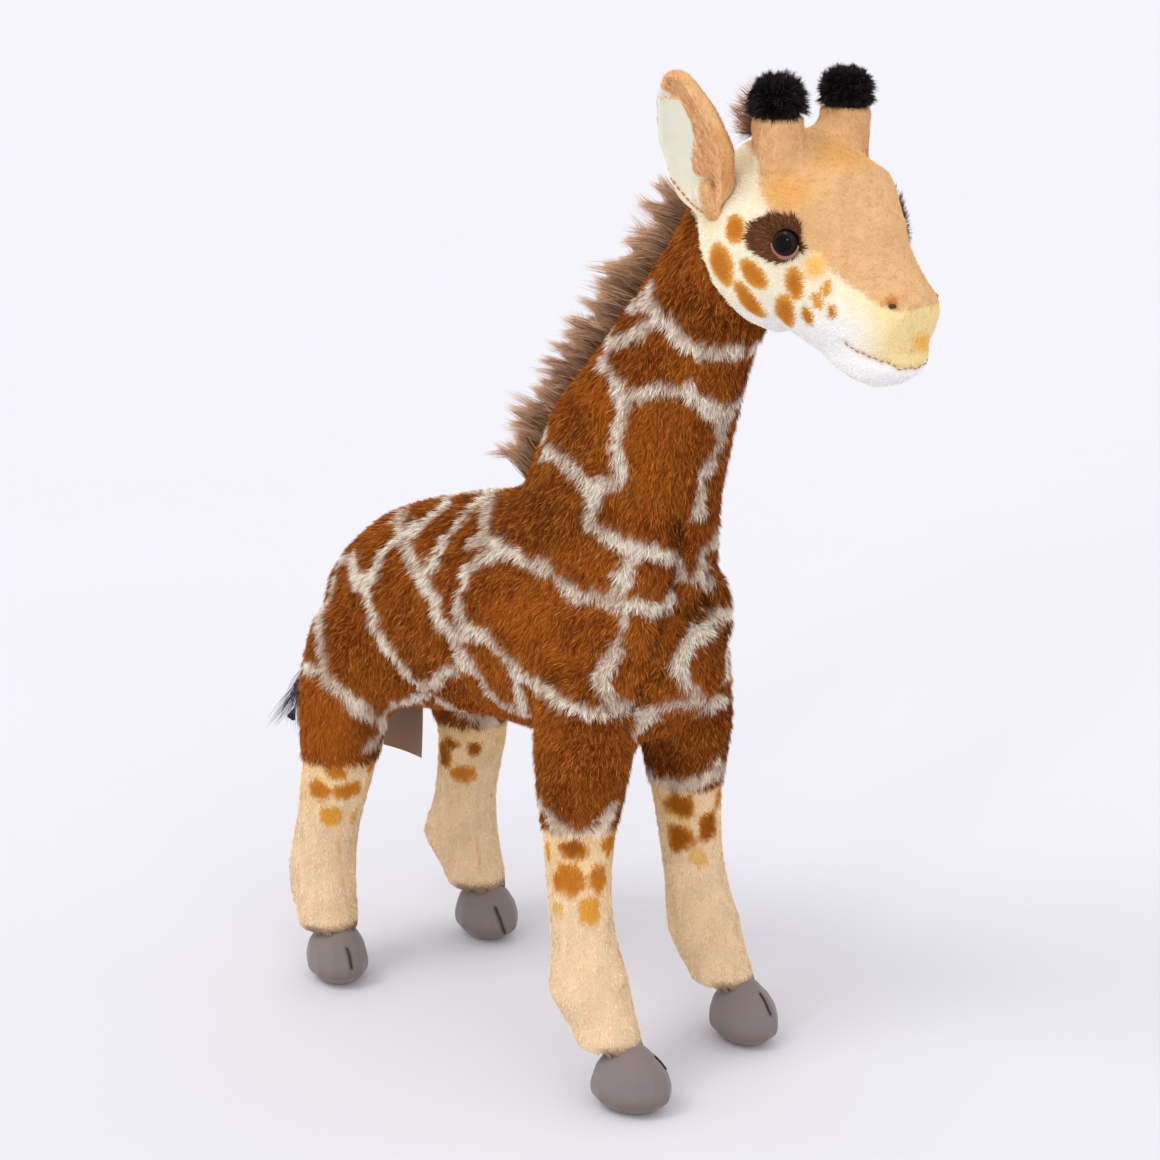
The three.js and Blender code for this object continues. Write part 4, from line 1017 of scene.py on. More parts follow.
def coat_colour(points, normals, rng):
    """Rust patches with pale lines between them, with painted shade and light, and painted shade in the
    folds.
    """
    ragged = sum(noise(kind, points) * reach for kind, reach in LINE_WANDER.items())
    ragged += rng.normal(0, LINE_SCATTER, len(points))
    away = distances(coat_lines, points) + ragged
    pale = 1 - smooth_step(LINE_HALF_WIDTH - LINE_FADE, LINE_HALF_WIDTH + LINE_FADE, away)[:, None]
    deep = smooth_step(-1.2, 1.6, noise("deep", points) + 0.5 * noise("flecks", points))
    rust = mixed(linear(RUST), linear(RUST_DARK), deep * 0.75)
    pixels = pixels_of(near_side(points))
    # painted shade and light round each of these places
    for centre, halves, change in COAT_LIGHT_AND_SHADE:
        share = 1 - smooth_step(0.3, 1.1, in_blob(pixels, centre, halves, 0))
        rust *= (1 + change * share)[:, None]
    # painted shade down in the folds
    rust *= (1 - FOLD_SHADE * nearness(fold_finder, points, FOLD_SHADE_REACH))[:, None]
    light = rng.random(len(points)) < LIGHT_HAIRS
    rust[light] = mixed(linear(RUST), linear(RUST_LIGHT), rng.random(light.sum()))
    lines = mixed(linear(LINE), linear(LINE_GREY), smooth_step(-1, 1, noise("line", points)))
    return rust * (1 - pale) + lines * pale


# The cream part of the legs, with its sprayed spots: place, half sizes in pixels and colour
FUR_EDGE = {"front": 170 * MM, "rear": 160 * MM}
LEG_SPOTS = {
    "front_right": [
        ((574, 849), (13, 10), SPOT_BROWN), ((610, 842), (10, 11), SPOT_MIDDLE),
        ((567, 879), (14, 15), SPOT_MIDDLE), ((598, 877), (9, 13), SPOT_MIDDLE),
        ((616, 879), (3, 8), SPOT_MIDDLE), ((589, 911), (10, 13), SPOT_ORANGE),
        ((612, 907), (6, 13), SPOT_MIDDLE), ((557, 909), (7, 6), SPOT_FAINT),
        ((548, 850), (3, 8), SPOT_ORANGE),
    ],
    "front_left": [
        ((679, 805), (14, 13), SPOT_BROWN), ((718, 797), (6, 9), SPOT_MIDDLE),
        ((679, 837), (12, 14), SPOT_BROWN), ((708, 826), (10, 14), SPOT_BROWN),
        ((726, 821), (3, 9), SPOT_MIDDLE), ((699, 857), (8, 8), SPOT_FAINT),
        ((726, 852), (7, 10), SPOT_FAINT),
    ],
    "rear_right": [
        ((336, 771), (9, 7), SPOT_MIDDLE), ((319, 789), (11, 10), SPOT_MIDDLE),
        ((348, 790), (12, 9), SPOT_MIDDLE), ((331, 815), (10, 11), SPOT_ORANGE),
        ((371, 764), (5, 9), SPOT_MIDDLE), ((354, 815), (4, 9), SPOT_FAINT),
    ],
    "rear_left": [
        ((444, 754), (10, 11), SPOT_BROWN), ((451, 742), (8, 6), SPOT_BROWN),
        ((474, 748), (6, 8), SPOT_BROWN), ((463, 774), (11, 8), SPOT_MIDDLE),
    ],
}
LEG_SEAMS = {
    "front_right": [(618, 950), (624, 966), (631, 986), (637, 1008), (642, 1032)],
    "rear_right": [(338, 838), (341, 870), (346, 900), (350, 916)],
    "rear_left": [(477, 838), (479, 856), (480, 872)],
}
SPOT_GAP = 15 * MM
LEG_SEAM_REACH = 1.1 * MM
FUR_EDGE_SCATTER = 0.8 * MM
WASH_HEIGHT = 55 * MM  # below its upper edge the cream is washed with yellow
HOOF_SHADE_BAND = (LEG_END + 2 * MM, LEG_END + 7 * MM)  # painted shade: darker brown pile just over the hoof, in height
HOOF_SHADE_START = (-16 * MM, -5 * MM)  # and lengthwise, from the middle of the foot


def leg_spots(leg, tree):
    """The spots in space, each again on the other side of the leg."""
    axis = middle(f"lower_leg_{leg}")
    found = []
    for pixel, halves, colour in LEG_SPOTS[leg]:
        place = on_skin(tree, pixel)
        across, up = (half * pixel_size(place) for half in halves)
        found.append((np.array(place), across, up, linear(colour)))
    for place, across, up, tint in list(found):
        behind = Vector((2 * axis.x - place[0], 2 * axis.y - place[1], place[2]))
        near = np.array(tree.find_nearest(behind)[0])
        if min(np.linalg.norm(near - other) for other, *_ in found) > SPOT_GAP:
            found.append((near, across, up, tint))
    return found


def leg_colour(leg):
    edge = FUR_EDGE[leg.split("_")[0]]
    skin = kept_faces(body_mesh, leg_area(leg), "leg skin")
    tree = tree_of(skin.data)
    bpy.data.objects.remove(skin)
    spots = leg_spots(leg, tree)
    foot = middle(f"hoof_{leg}")
    seam = LEG_SEAMS.get(leg)
    seam_finder = finder_of(traced(tree, seam)) if seam else None

    def colour(points, normals, rng):
        coat = coat_colour(points, normals, rng)
        height = points[:, 2]
        wash = smooth_step(edge - WASH_HEIGHT, edge, height) * (0.75 + 0.35 * noise("wash", points))
        cream = mixed(linear(CREAM), linear(CREAM_YELLOW), wash * 0.7)
        streak = smooth_step(-1.5, 1.5, noise("streak", points * [1, 1, 0.12]))
        cream *= (0.92 + 0.1 * streak)[:, None]
        jitter = rng.normal(0, SPRAY, (len(points), 3))
        for place, across, up, tint in spots:
            away = (points + jitter - place) / [across, across, up]
            out = np.linalg.norm(away, axis=1) + 0.12 * noise("spot", points)
            rim = mixed(tint, linear(SPOT_ORANGE), smooth_step(0.6, 1.3, out) * 0.6)
            cream = mixed(cream, rim, 1 - smooth_step(1.05, 1.4, out))
        if seam_finder:
            near = nearness(seam_finder, points, LEG_SEAM_REACH)
            cream = mixed(cream, linear(SPOT_MIDDLE), near * 0.45)
        # painted shade where the pile meets the front of the hoof
        crown = 1 - smooth_step(*HOOF_SHADE_BAND, height)
        crown *= smooth_step(foot.x + HOOF_SHADE_START[0], foot.x + HOOF_SHADE_START[1], points[:, 0])
        cream = mixed(cream, linear(HOOF_SHADE_BROWN), crown * 0.75)
        low = height + rng.normal(0, FUR_EDGE_SCATTER, len(points)) < edge
        coat[low] = cream[low]
        return coat

    return colour


FUR_LENGTH = 6.5 * MM
FUR_LOOK = dict(
    PILE_LOOK, density=1.9e6, length=FUR_LENGTH, width=0.42 * MM, lift=0.55, speckle=0.26,
    comb=combed(-0.3, 0, -1), colour=coat_colour, root_shade=0.42, tip_shade=1.35,
)
LEG_LOOK = dict(
    FUR_LOOK, density=2.1e6, width=0.38 * MM, lift=0.4, comb=combed(0, 0, -1), speckle=0.07,
    root_shade=0.74, tip_shade=1.06,
)
LEG_PILE = 1.6 * MM  # the cream pile's length at the hoof, and what it gains above
CUFF_HEIGHT = 9 * MM
TORSO_PARTS = 2


def make_torso():
    torso = cloth_piece(
        "torso_plush", body_mesh, torso_area, "fur", coat_colour, ["torso_cover", "torso_stuffing"],
    )
    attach(torso, "torso")
    along = points_of(torso.data)[:, 0]
    low, span = along.min(), along.max() - along.min()
    for side, sign in SIDES:
        for part in range(TORSO_PARTS):
            def keep(points, sign=sign, part=part):
                band = ((points[:, 0] - low) / span * TORSO_PARTS).astype(int)
                return (np.clip(band, 0, TORSO_PARTS - 1) == part) & on_side(sign)(points)

            name, look = f"torso_pile_{side}_{part + 1}", dict(FUR_LOOK, keep=keep)
            pile_on(name, torso, look, 21 + sign + 100 * part, plush, "fur", "torso")


def make_neck():
    neck = cloth_piece(
        "neck_plush", body_mesh, lambda points: above_neck_seam(points) >= 0, "fur", coat_colour,
        ["neck_cover", "neck_stuffing"],
    )
    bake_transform(neck)
    for side, sign in SIDES:
        look = dict(FUR_LOOK, keep=on_side(sign))
        pile = dress(short_pile(f"neck_pile_{side}", neck, look, seed=31 + sign), plush)
        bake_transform(pile)


def make_leg(leg, seed):
    colour = leg_colour(leg)
    edge = FUR_EDGE[leg.split("_")[0]]

    def length(points):
        cuff = smooth_step(LEG_END, LEG_END + CUFF_HEIGHT, points[:, 2])
        return np.where(points[:, 2] > edge, FUR_LENGTH, LEG_PILE * (1 + cuff))

    nodes = [f"upper_leg_{leg}", f"lower_leg_{leg}"]
    piece = cloth_piece(f"leg_plush_{leg}", body_mesh, leg_area(leg, LEG_END), "fur", colour, nodes)
    look = dict(LEG_LOOK, colour=colour, length=length)
    pile = dress(short_pile(f"leg_pile_{leg}", piece, look, seed), plush)
    for obj in (piece, pile):
        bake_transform(obj)


make_torso()
make_neck()
for number, leg in enumerate(LEGS):
    make_leg(leg, seed=41 + number)

# Hooves of suede, with a stitched cleft in the toe
CLEFTS = {
    "front_right": [(655, 1056), (661, 1062), (669, 1073)],
    "front_left": [(760, 993), (765, 1001), (771, 1015)],
    "rear_right": [(347, 948), (350, 957), (352, 969)],
    "rear_left": [(495, 907), (500, 919), (505, 934)],
}
HOOF_VOXEL = 1.1 * MM
HOOF_ROUNDS = 10
HOOF_SWELL = 0.3 * MM
HOOF_CROWN = 37 * MM
HOOF_RAISE = 4 * MM
HOOF_ROUND = 13 * MM
HOOF_TUCK_SHARE = 0.38
HOOF_LOW_BAND = (2 * MM, 18 * MM)
CLEFT_DEPTH = 1.4 * MM
CLEFT_REACH = 1.3 * MM
CLEFT_SHADE_REACH = 1 * MM
CLEFT_STEP = 1 * MM
CLEFT_THREAD = 0.55 * MM


def moulded_hoof(mesh):
    """The hoof with its crown raised a little and its lower edge rounded."""
    points = points_of(mesh)
    centre = points.mean(0)[:2]
    depth = np.clip(1 - points[:, 2] / HOOF_ROUND, 0, 1)
    inward = 1 - HOOF_TUCK_SHARE * (1 - np.sqrt(1 - depth**2))
    points[:, :2] = centre + (points[:, :2] - centre) * inward[:, None]
    points[:, 2] += HOOF_RAISE * smooth_step(HOOF_ROUND, HOOF_CROWN, points[:, 2])
    return move_points(mesh, points)


def make_hoof(leg):
    body = f"leg_{leg}"
    mesh = moulded_hoof(smooth_copy([f"hoof_{leg}"], HOOF_VOXEL, HOOF_ROUNDS, HOOF_SWELL))
    tree = tree_of(mesh)
    cleft = traced(tree, CLEFTS[leg], step=1)
    hoof = new_piece(f"hoof_suede_{leg}", pressed(mesh, cleft, CLEFT_DEPTH, CLEFT_REACH))
    points = points_of(hoof.data)
    colours = mixed(linear(HOOF), linear(HOOF_LOW), 1 - smooth_step(*HOOF_LOW_BAND, points[:, 2]))
    near = nearness(finder_of(cleft), points, CLEFT_SHADE_REACH)
    painted(hoof, mixed(colours, linear(CLEFT), near * 0.9), suede)
    placed(hoof, "hoof", body, f"hoof_{leg}")
    sunk = [tree.find_nearest(p)[0] for p in evenly(cleft, CLEFT_STEP)]
    line = tubes(f"hoof_cleft_{leg}", [(sunk, [CLEFT_THREAD] * len(sunk))])
    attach(painted(line, linear(CLEFT), thread), body)


for leg in LEGS:
    make_hoof(leg)

# Head: one skin with the horns, so that they grow out of it, then cut apart again

HEAD_VOXEL = 1.6 * MM
HEAD_CLOSING = 5 * MM
head_nodes = ["head_cover", "head_stuffing", "chin", "horn_right", "horn_left"]
head_mesh = closed_skin(head_nodes, HEAD_VOXEL, HEAD_CLOSING, rounds=6)
MOUTH_LINE = [(844, 344), (852, 350), (859, 354), (874, 360), (888, 364), (897, 369), (908, 370)]
NOSTRIL = [(890, 304), (895, 308), (900, 312)]
BRIDGE = (912, 226)
BRIDGE_SHARE = 0.36  # how much narrower the bridge of the nose is sewn
BRIDGE_REACH = 20 * MM
NOSE_DENT = ((934, 286), 3.5 * MM, 9 * MM)  # its place, depth and reach
MOUTH_STEP = 1.5 * MM
MOUTH_FRONT_STEPS = 12
MOUTH_PRESS = (2.2 * MM, 2.6 * MM)  # depth and reach
NOSTRIL_PRESS = (1.8 * MM, 1.8 * MM)


def narrowed(mesh, place, share, reach):
    """Narrows the mesh towards its plane of symmetry round a place."""
    points = points_of(mesh)
    away = np.hypot(points[:, 0] - place.x, points[:, 2] - place.z) / reach
    points[:, 1] = mid_y + (points[:, 1] - mid_y) * (1 - share * np.exp(-(away**2)))
    return move_points(mesh, points)


def mouth_path(tree):
    near = evenly(traced(tree, MOUTH_LINE, step=2), MOUTH_STEP)
    end, far_end = near[-1], mirrored(near)[-1]
    shares = [i / MOUTH_FRONT_STEPS for i in range(1, MOUTH_FRONT_STEPS)]
    front = [tree.find_nearest(end.lerp(far_end, share))[0] for share in shares]
    return near + front + mirrored(near)[::-1]


head_tree = tree_of(head_mesh)
mouth = mouth_path(head_tree)
nostrils = [traced(head_tree, NOSTRIL, step=1)]
nostrils.append(mirrored(nostrils[0]))
head_mesh = narrowed(head_mesh, on_skin(head_tree, BRIDGE), BRIDGE_SHARE, BRIDGE_REACH)
dent = [on_skin(head_tree, NOSE_DENT[0])]
head_mesh = pressed(head_mesh, dent + mirrored(dent), *NOSE_DENT[1:])
head_mesh = pressed(head_mesh, mouth, *MOUTH_PRESS)
head_mesh = pressed(head_mesh, nostrils[0] + nostrils[1], *NOSTRIL_PRESS)
head_tree = tree_of(head_mesh)

# What the photograph shows on the face, in its pixels; the far side is the same
PEACH_EDGE = [
    (742, 60), (745, 142), (757, 160), (760, 184), (767, 202), (774, 215), (788, 236), (805, 249), (819, 253),
    (832, 269), (845, 282), (863, 293), (877, 304), (888, 309), (901, 311), (919, 309), (932, 300),
    (980, 280), (980, 60),
]
PATCH_EDGE = [
    (747, 235), (754, 224), (765, 217), (778, 214), (794, 216), (801, 226), (801, 240), (808, 249),
    (799, 253), (787, 261), (774, 262), (763, 256), (752, 249),
]
PATCH_MARGIN = {"right": -1, "left": 8}  # how far each patch runs past that edge
FACE_SPOTS = [
    ((736, 229), (10, 15), 0, SPOT_MIDDLE), ((721, 265), (11, 20), 0, SPOT_MIDDLE),
    ((754, 274), (15, 11), 42, SPOT_MIDDLE), ((749, 301), (17, 10), 32, SPOT_MIDDLE),
    ((786, 312), (10, 13), -15, SPOT_MIDDLE), ((795, 284), (9, 15), -12, SPOT_MIDDLE),
    ((827, 288), (5, 9), 10, SPOT_ORANGE), ((818, 301), (5, 9), -25, SPOT_ORANGE),
    ((808, 316), (6, 9), -20, SPOT_MIDDLE), ((832, 312), (5, 7), 0, SPOT_MIDDLE),
]
NOSE_GLOW = ((922, 343), (13, 14))  # on the left of the nose only
FACE_GLOWS = [
    ((787, 193), (34, 26), 0, PEACH_ORANGE, 0.75), ((848, 153), (46, 24), 0, PEACH_ORANGE, 0.7),
    ((816, 266), (17, 19), 0, GLOW_YELLOW, 1.0), ((892, 303), (11, 9), 0, SPOT_MIDDLE, 0.9),
    ((712, 222), (14, 16), 0, SPOT_FAINT, 0.4),
]
CHEEK_END = (285, 335)  # where the cheek turns to the white of the chin, down the photograph
MUZZLE_START = (836, 900)  # where the yellow of the muzzle begins, across it
EYE_LEVEL = middle("eye_right").z
EAR_LINE = JOINTS["ear_flex_right"].x - 4 * MM
MOUTH_FADE = 0.8 * MM
MOUTH_BACK_FADE = (-4 * MM, 2 * MM)
CROWN_FADES = ((-4 * MM, 8 * MM), (0, 8 * MM), (-4 * MM, 4 * MM))  # up, back and up the horns
mouth_line = curve(np.array([(p.x, p.z) for p in mouth]))
mouth_back = min(p.x for p in mouth)


def inside_outline(pixels, corners):
    """How far inside a closed outline each pixel is, in pixels; less than zero outside it."""
    inside = np.zeros(len(pixels), bool)
    nearest = np.full(len(pixels), np.inf)
    for a, b in zip(corners, corners[1:] + corners[:1]):
        a, b = np.array(a, float), np.array(b, float)
        along = b - a
        share = np.clip(((pixels - a) @ along) / (along @ along), 0, 1)
        nearest = np.minimum(nearest, np.linalg.norm(pixels - a - share[:, None] * along, axis=1))
        crosses = (a[1] > pixels[:, 1]) != (b[1] > pixels[:, 1])
        where = a[0] + (pixels[:, 1] - a[1]) * along[0] / (along[1] or 1)
        inside ^= crosses & (pixels[:, 0] < where)
    return np.where(inside, nearest, -nearest)


def below_mouth(points):
    """1 on the chin, 0 above the mouth line."""
    share = smooth_step(-MOUTH_FADE, MOUTH_FADE, mouth_line(points[:, 0]) - points[:, 2])
    return share * smooth_step(*MOUTH_BACK_FADE, points[:, 0] - mouth_back)


def on_crown(points):
    """1 on the top of the head and on the horns."""
    up, back, horns = CROWN_FADES
    top = smooth_step(*up, points[:, 2] - EYE_LEVEL) * smooth_step(*back, EAR_LINE - points[:, 0])
    return np.maximum(top, smooth_step(*horns, points[:, 2] - middle("horn_right").z))


def face_colour(points, normals, rng):
    """The painted face, with soft sprayed edges."""
    nose = 1 - smooth_step(0.2, 1.2, in_blob(pixels_of(points), *NOSE_GLOW, 0))
    nose *= points[:, 0] > middle("chin").x
    normals = normals * np.where(on_side(1)(points)[:, None], [1, -1, 1], 1)
    points = near_side(points)
    pixels = pixels_of(points) + rng.normal(0, 1.0, (len(points), 2))
    facing = smooth_step(-0.15, 0.15, normals @ np.array(camera_back))
    washes = [
        (CHIN_WHITE, smooth_step(*CHEEK_END, pixels[:, 1])),
        (MUZZLE, smooth_step(*MUZZLE_START, pixels[:, 0]) * 0.85),
        (CHIN_WHITE, below_mouth(points)),
        (PEACH, smooth_step(-2, 2.5, inside_outline(pixels, PEACH_EDGE))),
    ]
    for centre, halves, lean, tint, strength in FACE_GLOWS:
        glow = 1 - smooth_step(0.15, 1.15, in_blob(pixels, centre, halves, lean))
        washes.append((tint, glow * strength))
    colour = linear(CHEEK)
    for tint, share in washes + [(NOSE_ORANGE, nose * 0.9)]:
        colour = mixed(colour, linear(tint), share)
    back = mixed(linear(CHEEK), linear(PEACH), on_crown(points))
    colour = back * (1 - facing[:, None]) + colour * facing[:, None]
    jitter = rng.normal(0, SPRAY, points.shape)
    for spot, tint in face_spots:
        out = in_spot(points + jitter, spot)
        rim = mixed(linear(tint), linear(SPOT_ORANGE), smooth_step(0.4, 1.05, out))
        colour = mixed(colour, rim, 1 - smooth_step(0.88, 1.12, out))
    return colour


def spot_on_face(centre, halves, lean):
    place = on_skin(head_tree, centre)
    return place, head_tree.find_nearest(place)[1], halves, lean


face_spots = [(spot_on_face(*shape), tint) for *shape, tint in FACE_SPOTS]

HORN_REACH = 17.5 * MM
HORN_START = 7 * MM


def horn_area(side):
    low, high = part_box(f"horn_{side}")
    centre = (low + high) / 2

    def inside(points):
        away = np.hypot(points[:, 0] - centre.x, points[:, 1] - centre.y)
        return (away < HORN_REACH) & (points[:, 2] > low.z + HORN_START)

    return inside


def head_area(points):
    return ~(horn_area("right")(points) | horn_area("left")(points))


def face_piece(name, keep, replaced):
    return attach(cloth_piece(name, head_mesh, keep, "face", face_colour, replaced), "head")


EYE_RADIUS = 7.5 * MM
EYE_DOME = 4.2 * MM
EYE_TOE_IN = 16


def eye_place(side, sign):
    """The middle of the eye on the skin, and the way it looks."""
    turn = math.radians(EYE_TOE_IN)
    out = Vector((math.sin(turn), sign * math.cos(turn), 0))
    apex = max((v.co for v in frame["nodes"][f"eye_{side}"].data.vertices), key=lambda co: co.dot(out))
    return apex - out * EYE_DOME, out


EYES = {side: eye_place(side, sign) for side, sign in SIDES}

FACE_MIDDLE = 25 * MM  # how far to each side of the middle the face has no patches


def off_middle(points):
    return np.abs(points[:, 1] - mid_y) > FACE_MIDDLE


def depth_in_patch(points):
    """How far inside the edge of its eye patch each place is, in pixels."""
    return inside_outline(pixels_of(near_side(points)), PATCH_EDGE)


def clear_of_eyes(points):
    """True where the pile leaves the eyes and the eye patches free."""
    margin = np.where(on_side(1)(points), PATCH_MARGIN["left"], PATCH_MARGIN["right"])
    return (depth_in_patch(points) < 0.5 - margin) | ~off_middle(points)


FACE_LOOK = dict(
    PILE_LOOK, density=2.6e6, length=2.6 * MM, width=0.34 * MM, lift=0.5, comb=combed(-1, 0, -0.25),
    colour=face_colour, speckle=0.04, root_shade=0.9, tip_shade=1.02, clump=4 * MM, sway=0.5,
)
HORN_LOOK = dict(FACE_LOOK, comb=combed(0, 0, 1), length=3 * MM)
TUFT_LENGTH = {"right": 8.5 * MM, "left": 6.8 * MM}
TUFT_DENSITY = 4.5e6
TUFT_INSET = 3 * MM
TUFT_LOOK = {
    "lock": 14, "stray": 0.35, "shortest": 0.4, "steps": 4, "root": BLACK_PILE, "tip": BLACK_TIP, "fade": 3,
}


def make_head():
    head = face_piece("head_plush", head_area, ["head_cover", "head_stuffing", "chin"])
    for side, sign in SIDES:
        keep = lambda points, sign=sign: on_side(sign)(points) & clear_of_eyes(points)
        look = dict(FACE_LOOK, keep=keep)
        pile_on(f"head_pile_{side}", head, look, 51 + sign, velour, "face", "head")


def make_horn(side, seed):
    horn = face_piece(f"horn_plush_{side}", horn_area(side), [f"horn_{side}"])
    pile_on(f"horn_pile_{side}", horn, HORN_LOOK, seed, velour, "face", "head")
    node = f"horn_tuft_{side}"
    core = hair_core(f"horn_tuft_core_{side}", node, TUFT_INSET, BLACK_PILE, "tuft", "head", rounds=8)
    rng = np.random.default_rng(seed)
    roots, normals = sampled(core.data, TUFT_DENSITY, rng)
    low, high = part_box(node)
    rise = (roots[:, 2:] - low.z) / (high.z - low.z)
    ways = unit(normals + np.array([[0, 0, 1.4]]) * (rise - 0.4) + rng.normal(0, 0.2, roots.shape))
    look = dict(TUFT_LOOK, length=TUFT_LENGTH[side])
    hair_on(f"horn_tuft_hair_{side}", roots, ways, look, seed + 1, "tuft", "head")


make_head()
for side, sign in SIDES:
    make_horn(side, seed=61 + sign)

# Eyes, their lids and the brown patches round them

IRIS_BAND = (0.6, 0.7, 0.84, 0.95)  # where it starts and ends, in shares of the eye's radius
DOME_RINGS = 14
DOME_SIDES = 40


def circle(sides):
    """The corners of a flat ring of radius 1."""
    turns = [2 * math.pi * k / sides for k in range(sides)]
    return [Vector((math.cos(turn), math.sin(turn), 0)) for turn in turns]


def dome(name, place, out, radius, height):
    """A domed disc with a short rim below it."""
    upright = out.to_track_quat("Z", "Y")
    verts = [place + out * height]
    for i in range(1, DOME_RINGS + 1):
        angle = math.pi / 2 * i / DOME_RINGS  # from the axis
        rise = Vector((0, 0, height * math.cos(angle)))
        ring = [corner * radius * math.sin(angle) + rise for corner in circle(DOME_SIDES)]
        verts += [place + upright @ corner for corner in ring]
    verts += [vert - out * (height * 0.6) for vert in verts[-DOME_SIDES:]]
    faces = [[0, 1 + k, 1 + (k + 1) % DOME_SIDES] for k in range(DOME_SIDES)]
    faces += [[a, d, c, b] for a, b, c, d in rings_of_faces(1, DOME_RINGS, DOME_SIDES)]
    faces.append([1 + DOME_RINGS * DOME_SIDES + k for k in reversed(range(DOME_SIDES))])
    return new_piece(name, mesh_from(name, verts, faces))


def make_eye(side, sign, seed):
    place, out = EYES[side]
    eye = dome(f"eye_dome_{side}", place, out, EYE_RADIUS, EYE_DOME)
    points = points_of(eye.data) - np.array(place)
    radius = np.linalg.norm(points - np.outer(points @ np.array(out), np.array(out)), axis=1)
    share = radius / EYE_RADIUS
    iris = smooth_step(*IRIS_BAND[:2], share) * (1 - smooth_step(*IRIS_BAND[2:], share))
    painted(eye, mixed(linear(PUPIL), linear(IRIS), iris), eye_plastic)
    placed(eye, "eye", "head", f"eye_{side}")
    make_lid(side, place, out)
    make_patch(side, sign, place, seed)


LID_STEPS = 24
LID_SPAN = 85  # degrees to each side, from straight down
LID_GAP = 0.5 * MM
LID_LIFT = 1.3 * MM
LID_THICK = (0.45, 0.75)  # its radius at the ends and what it gains in the middle, in millimetres


def make_lid(side, place, out):
    """A soft cord that swells towards the middle of the lower rim."""
    across = Vector((0, 0, 1)).cross(out).normalized()
    up = out.cross(across)
    path, radii = [], []
    for i in range(LID_STEPS + 1):
        angle = math.radians(-LID_SPAN + 2 * LID_SPAN * i / LID_STEPS)
        spoke = across * math.sin(angle) - up * math.cos(angle)
        path.append(place + spoke * (EYE_RADIUS + LID_GAP) + out * LID_LIFT)
        radii.append((LID_THICK[0] + LID_THICK[1] * math.sin(math.pi * i / LID_STEPS)) * MM)
    lid = painted(tubes(f"eye_rim_{side}", [(path, radii)], sides=8), linear(LID), suede)
    placed(lid, "eyelid", "head", f"eyelid_{side}")


PATCH_PILE = {"right": (4.6 * MM, 0.9), "left": (7 * MM, 1.3)}  # its length and how raised it is
PATCH_RAISE = 1 * MM
PATCH_LIGHT_HAIRS = 0.2
EYE_OVERLAP = 0.3 * MM  # how far the patch's pile runs in under the eye


def make_patch(side, sign, place, seed):
    def keep(points):
        return on_side(sign)(points) & off_middle(points) & (depth_in_patch(points) > -PATCH_MARGIN[side])

    patch = kept_faces(head_mesh, keep, f"eye_patch_plush_{side}")
    grown(patch.data, PATCH_RAISE)
    painted(patch, linear(PATCH) * 0.7, backing)
    placed(patch, "patch", "head", f"eye_patch_{side}")

    def colour(points, normals, rng):
        light = rng.random(len(points)) < PATCH_LIGHT_HAIRS
        return mixed(linear(PATCH), linear(PATCH_LIGHT), light * rng.random(len(points)))

    length, lift = PATCH_PILE[side]
    look = dict(
        PILE_LOOK, density=3.6e6, length=length, width=0.4 * MM, lift=lift, colour=colour,
        comb=lambda points, normals: unit(points - np.array(place)) + [-0.7, 0, 0.2],
        keep=lambda points: away_from(place, points) > EYE_RADIUS - EYE_OVERLAP,
    )
    pile_on(f"eye_patch_pile_{side}", patch, look, seed, plush, "patch", "head")


for side, sign in SIDES:
    make_eye(side, sign, seed=71 + sign)

# Mouth and nostrils, sewn with a twisted thread

THREAD_LIFT = 0.9 * MM
MOUTH_STITCH = (4 * MM, 0.45 * MM)  # length and radius
NOSTRIL_STITCH = (6 * MM, 1.5 * MM)


def sewn(name, path, colour, length, radius):
    line = [head_tree.find_nearest(p)[0] for p in path]
    line = [p + head_tree.find_nearest(p)[1] * THREAD_LIFT for p in line]
    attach(painted(tubes(name, stitches(line, length, radius)), linear(colour), thread), "head")


sewn("mouth_thread", mouth, MOUTH_THREAD, *MOUTH_STITCH)
for (side, _), nostril in zip(SIDES, nostrils):
    sewn(f"nostril_thread_{side}", nostril, NOSTRIL_THREAD, *NOSTRIL_STITCH)

# Ears: the peach edge folds over the lining, and is stitched to it below

EAR_FOLD = [(660, 88), (680, 101), (692, 124), (695, 144), (692, 162), (696, 179), (707, 206)]
EAR_STITCH = [(664, 168), (670, 176), (676, 184), (682, 192), (689, 200), (697, 207), (705, 213)]
EAR_RIM = 26 * MM
EAR_RIM_FADE = (-6 * MM, 2 * MM)
EAR_VOXEL = 1.1 * MM
EAR_CLOSING = 3 * MM
EAR_LINING_REACH = 1.5 * MM  # how far from the lining the skin is still lined
EAR_EDGE_FULLER = 3 * MM  # how much wider the rear edge is sewn all along, and more at its foot
EAR_FOOT_FULLER = 11 * MM
EAR_FOOT_HEIGHT = 42 * MM
EAR_REAR_ACROSS = (2 * MM, -14 * MM)  # where the fuller rear edge starts and where it is all there
EAR_REAR_ALONG = (-26 * MM, -10 * MM)
EAR_FEET = [(704, 205), (718, 203)]  # the two corners of the leaf, with a fill sewn between them
EAR_FILL = (8 * MM, 13 * MM, 4 * MM)
EAR_TIP_START = 45 * MM
EAR_TIP_LONGER = 3 * MM
EAR_TIP_SHARE = 0.4  # how much narrower the tip is


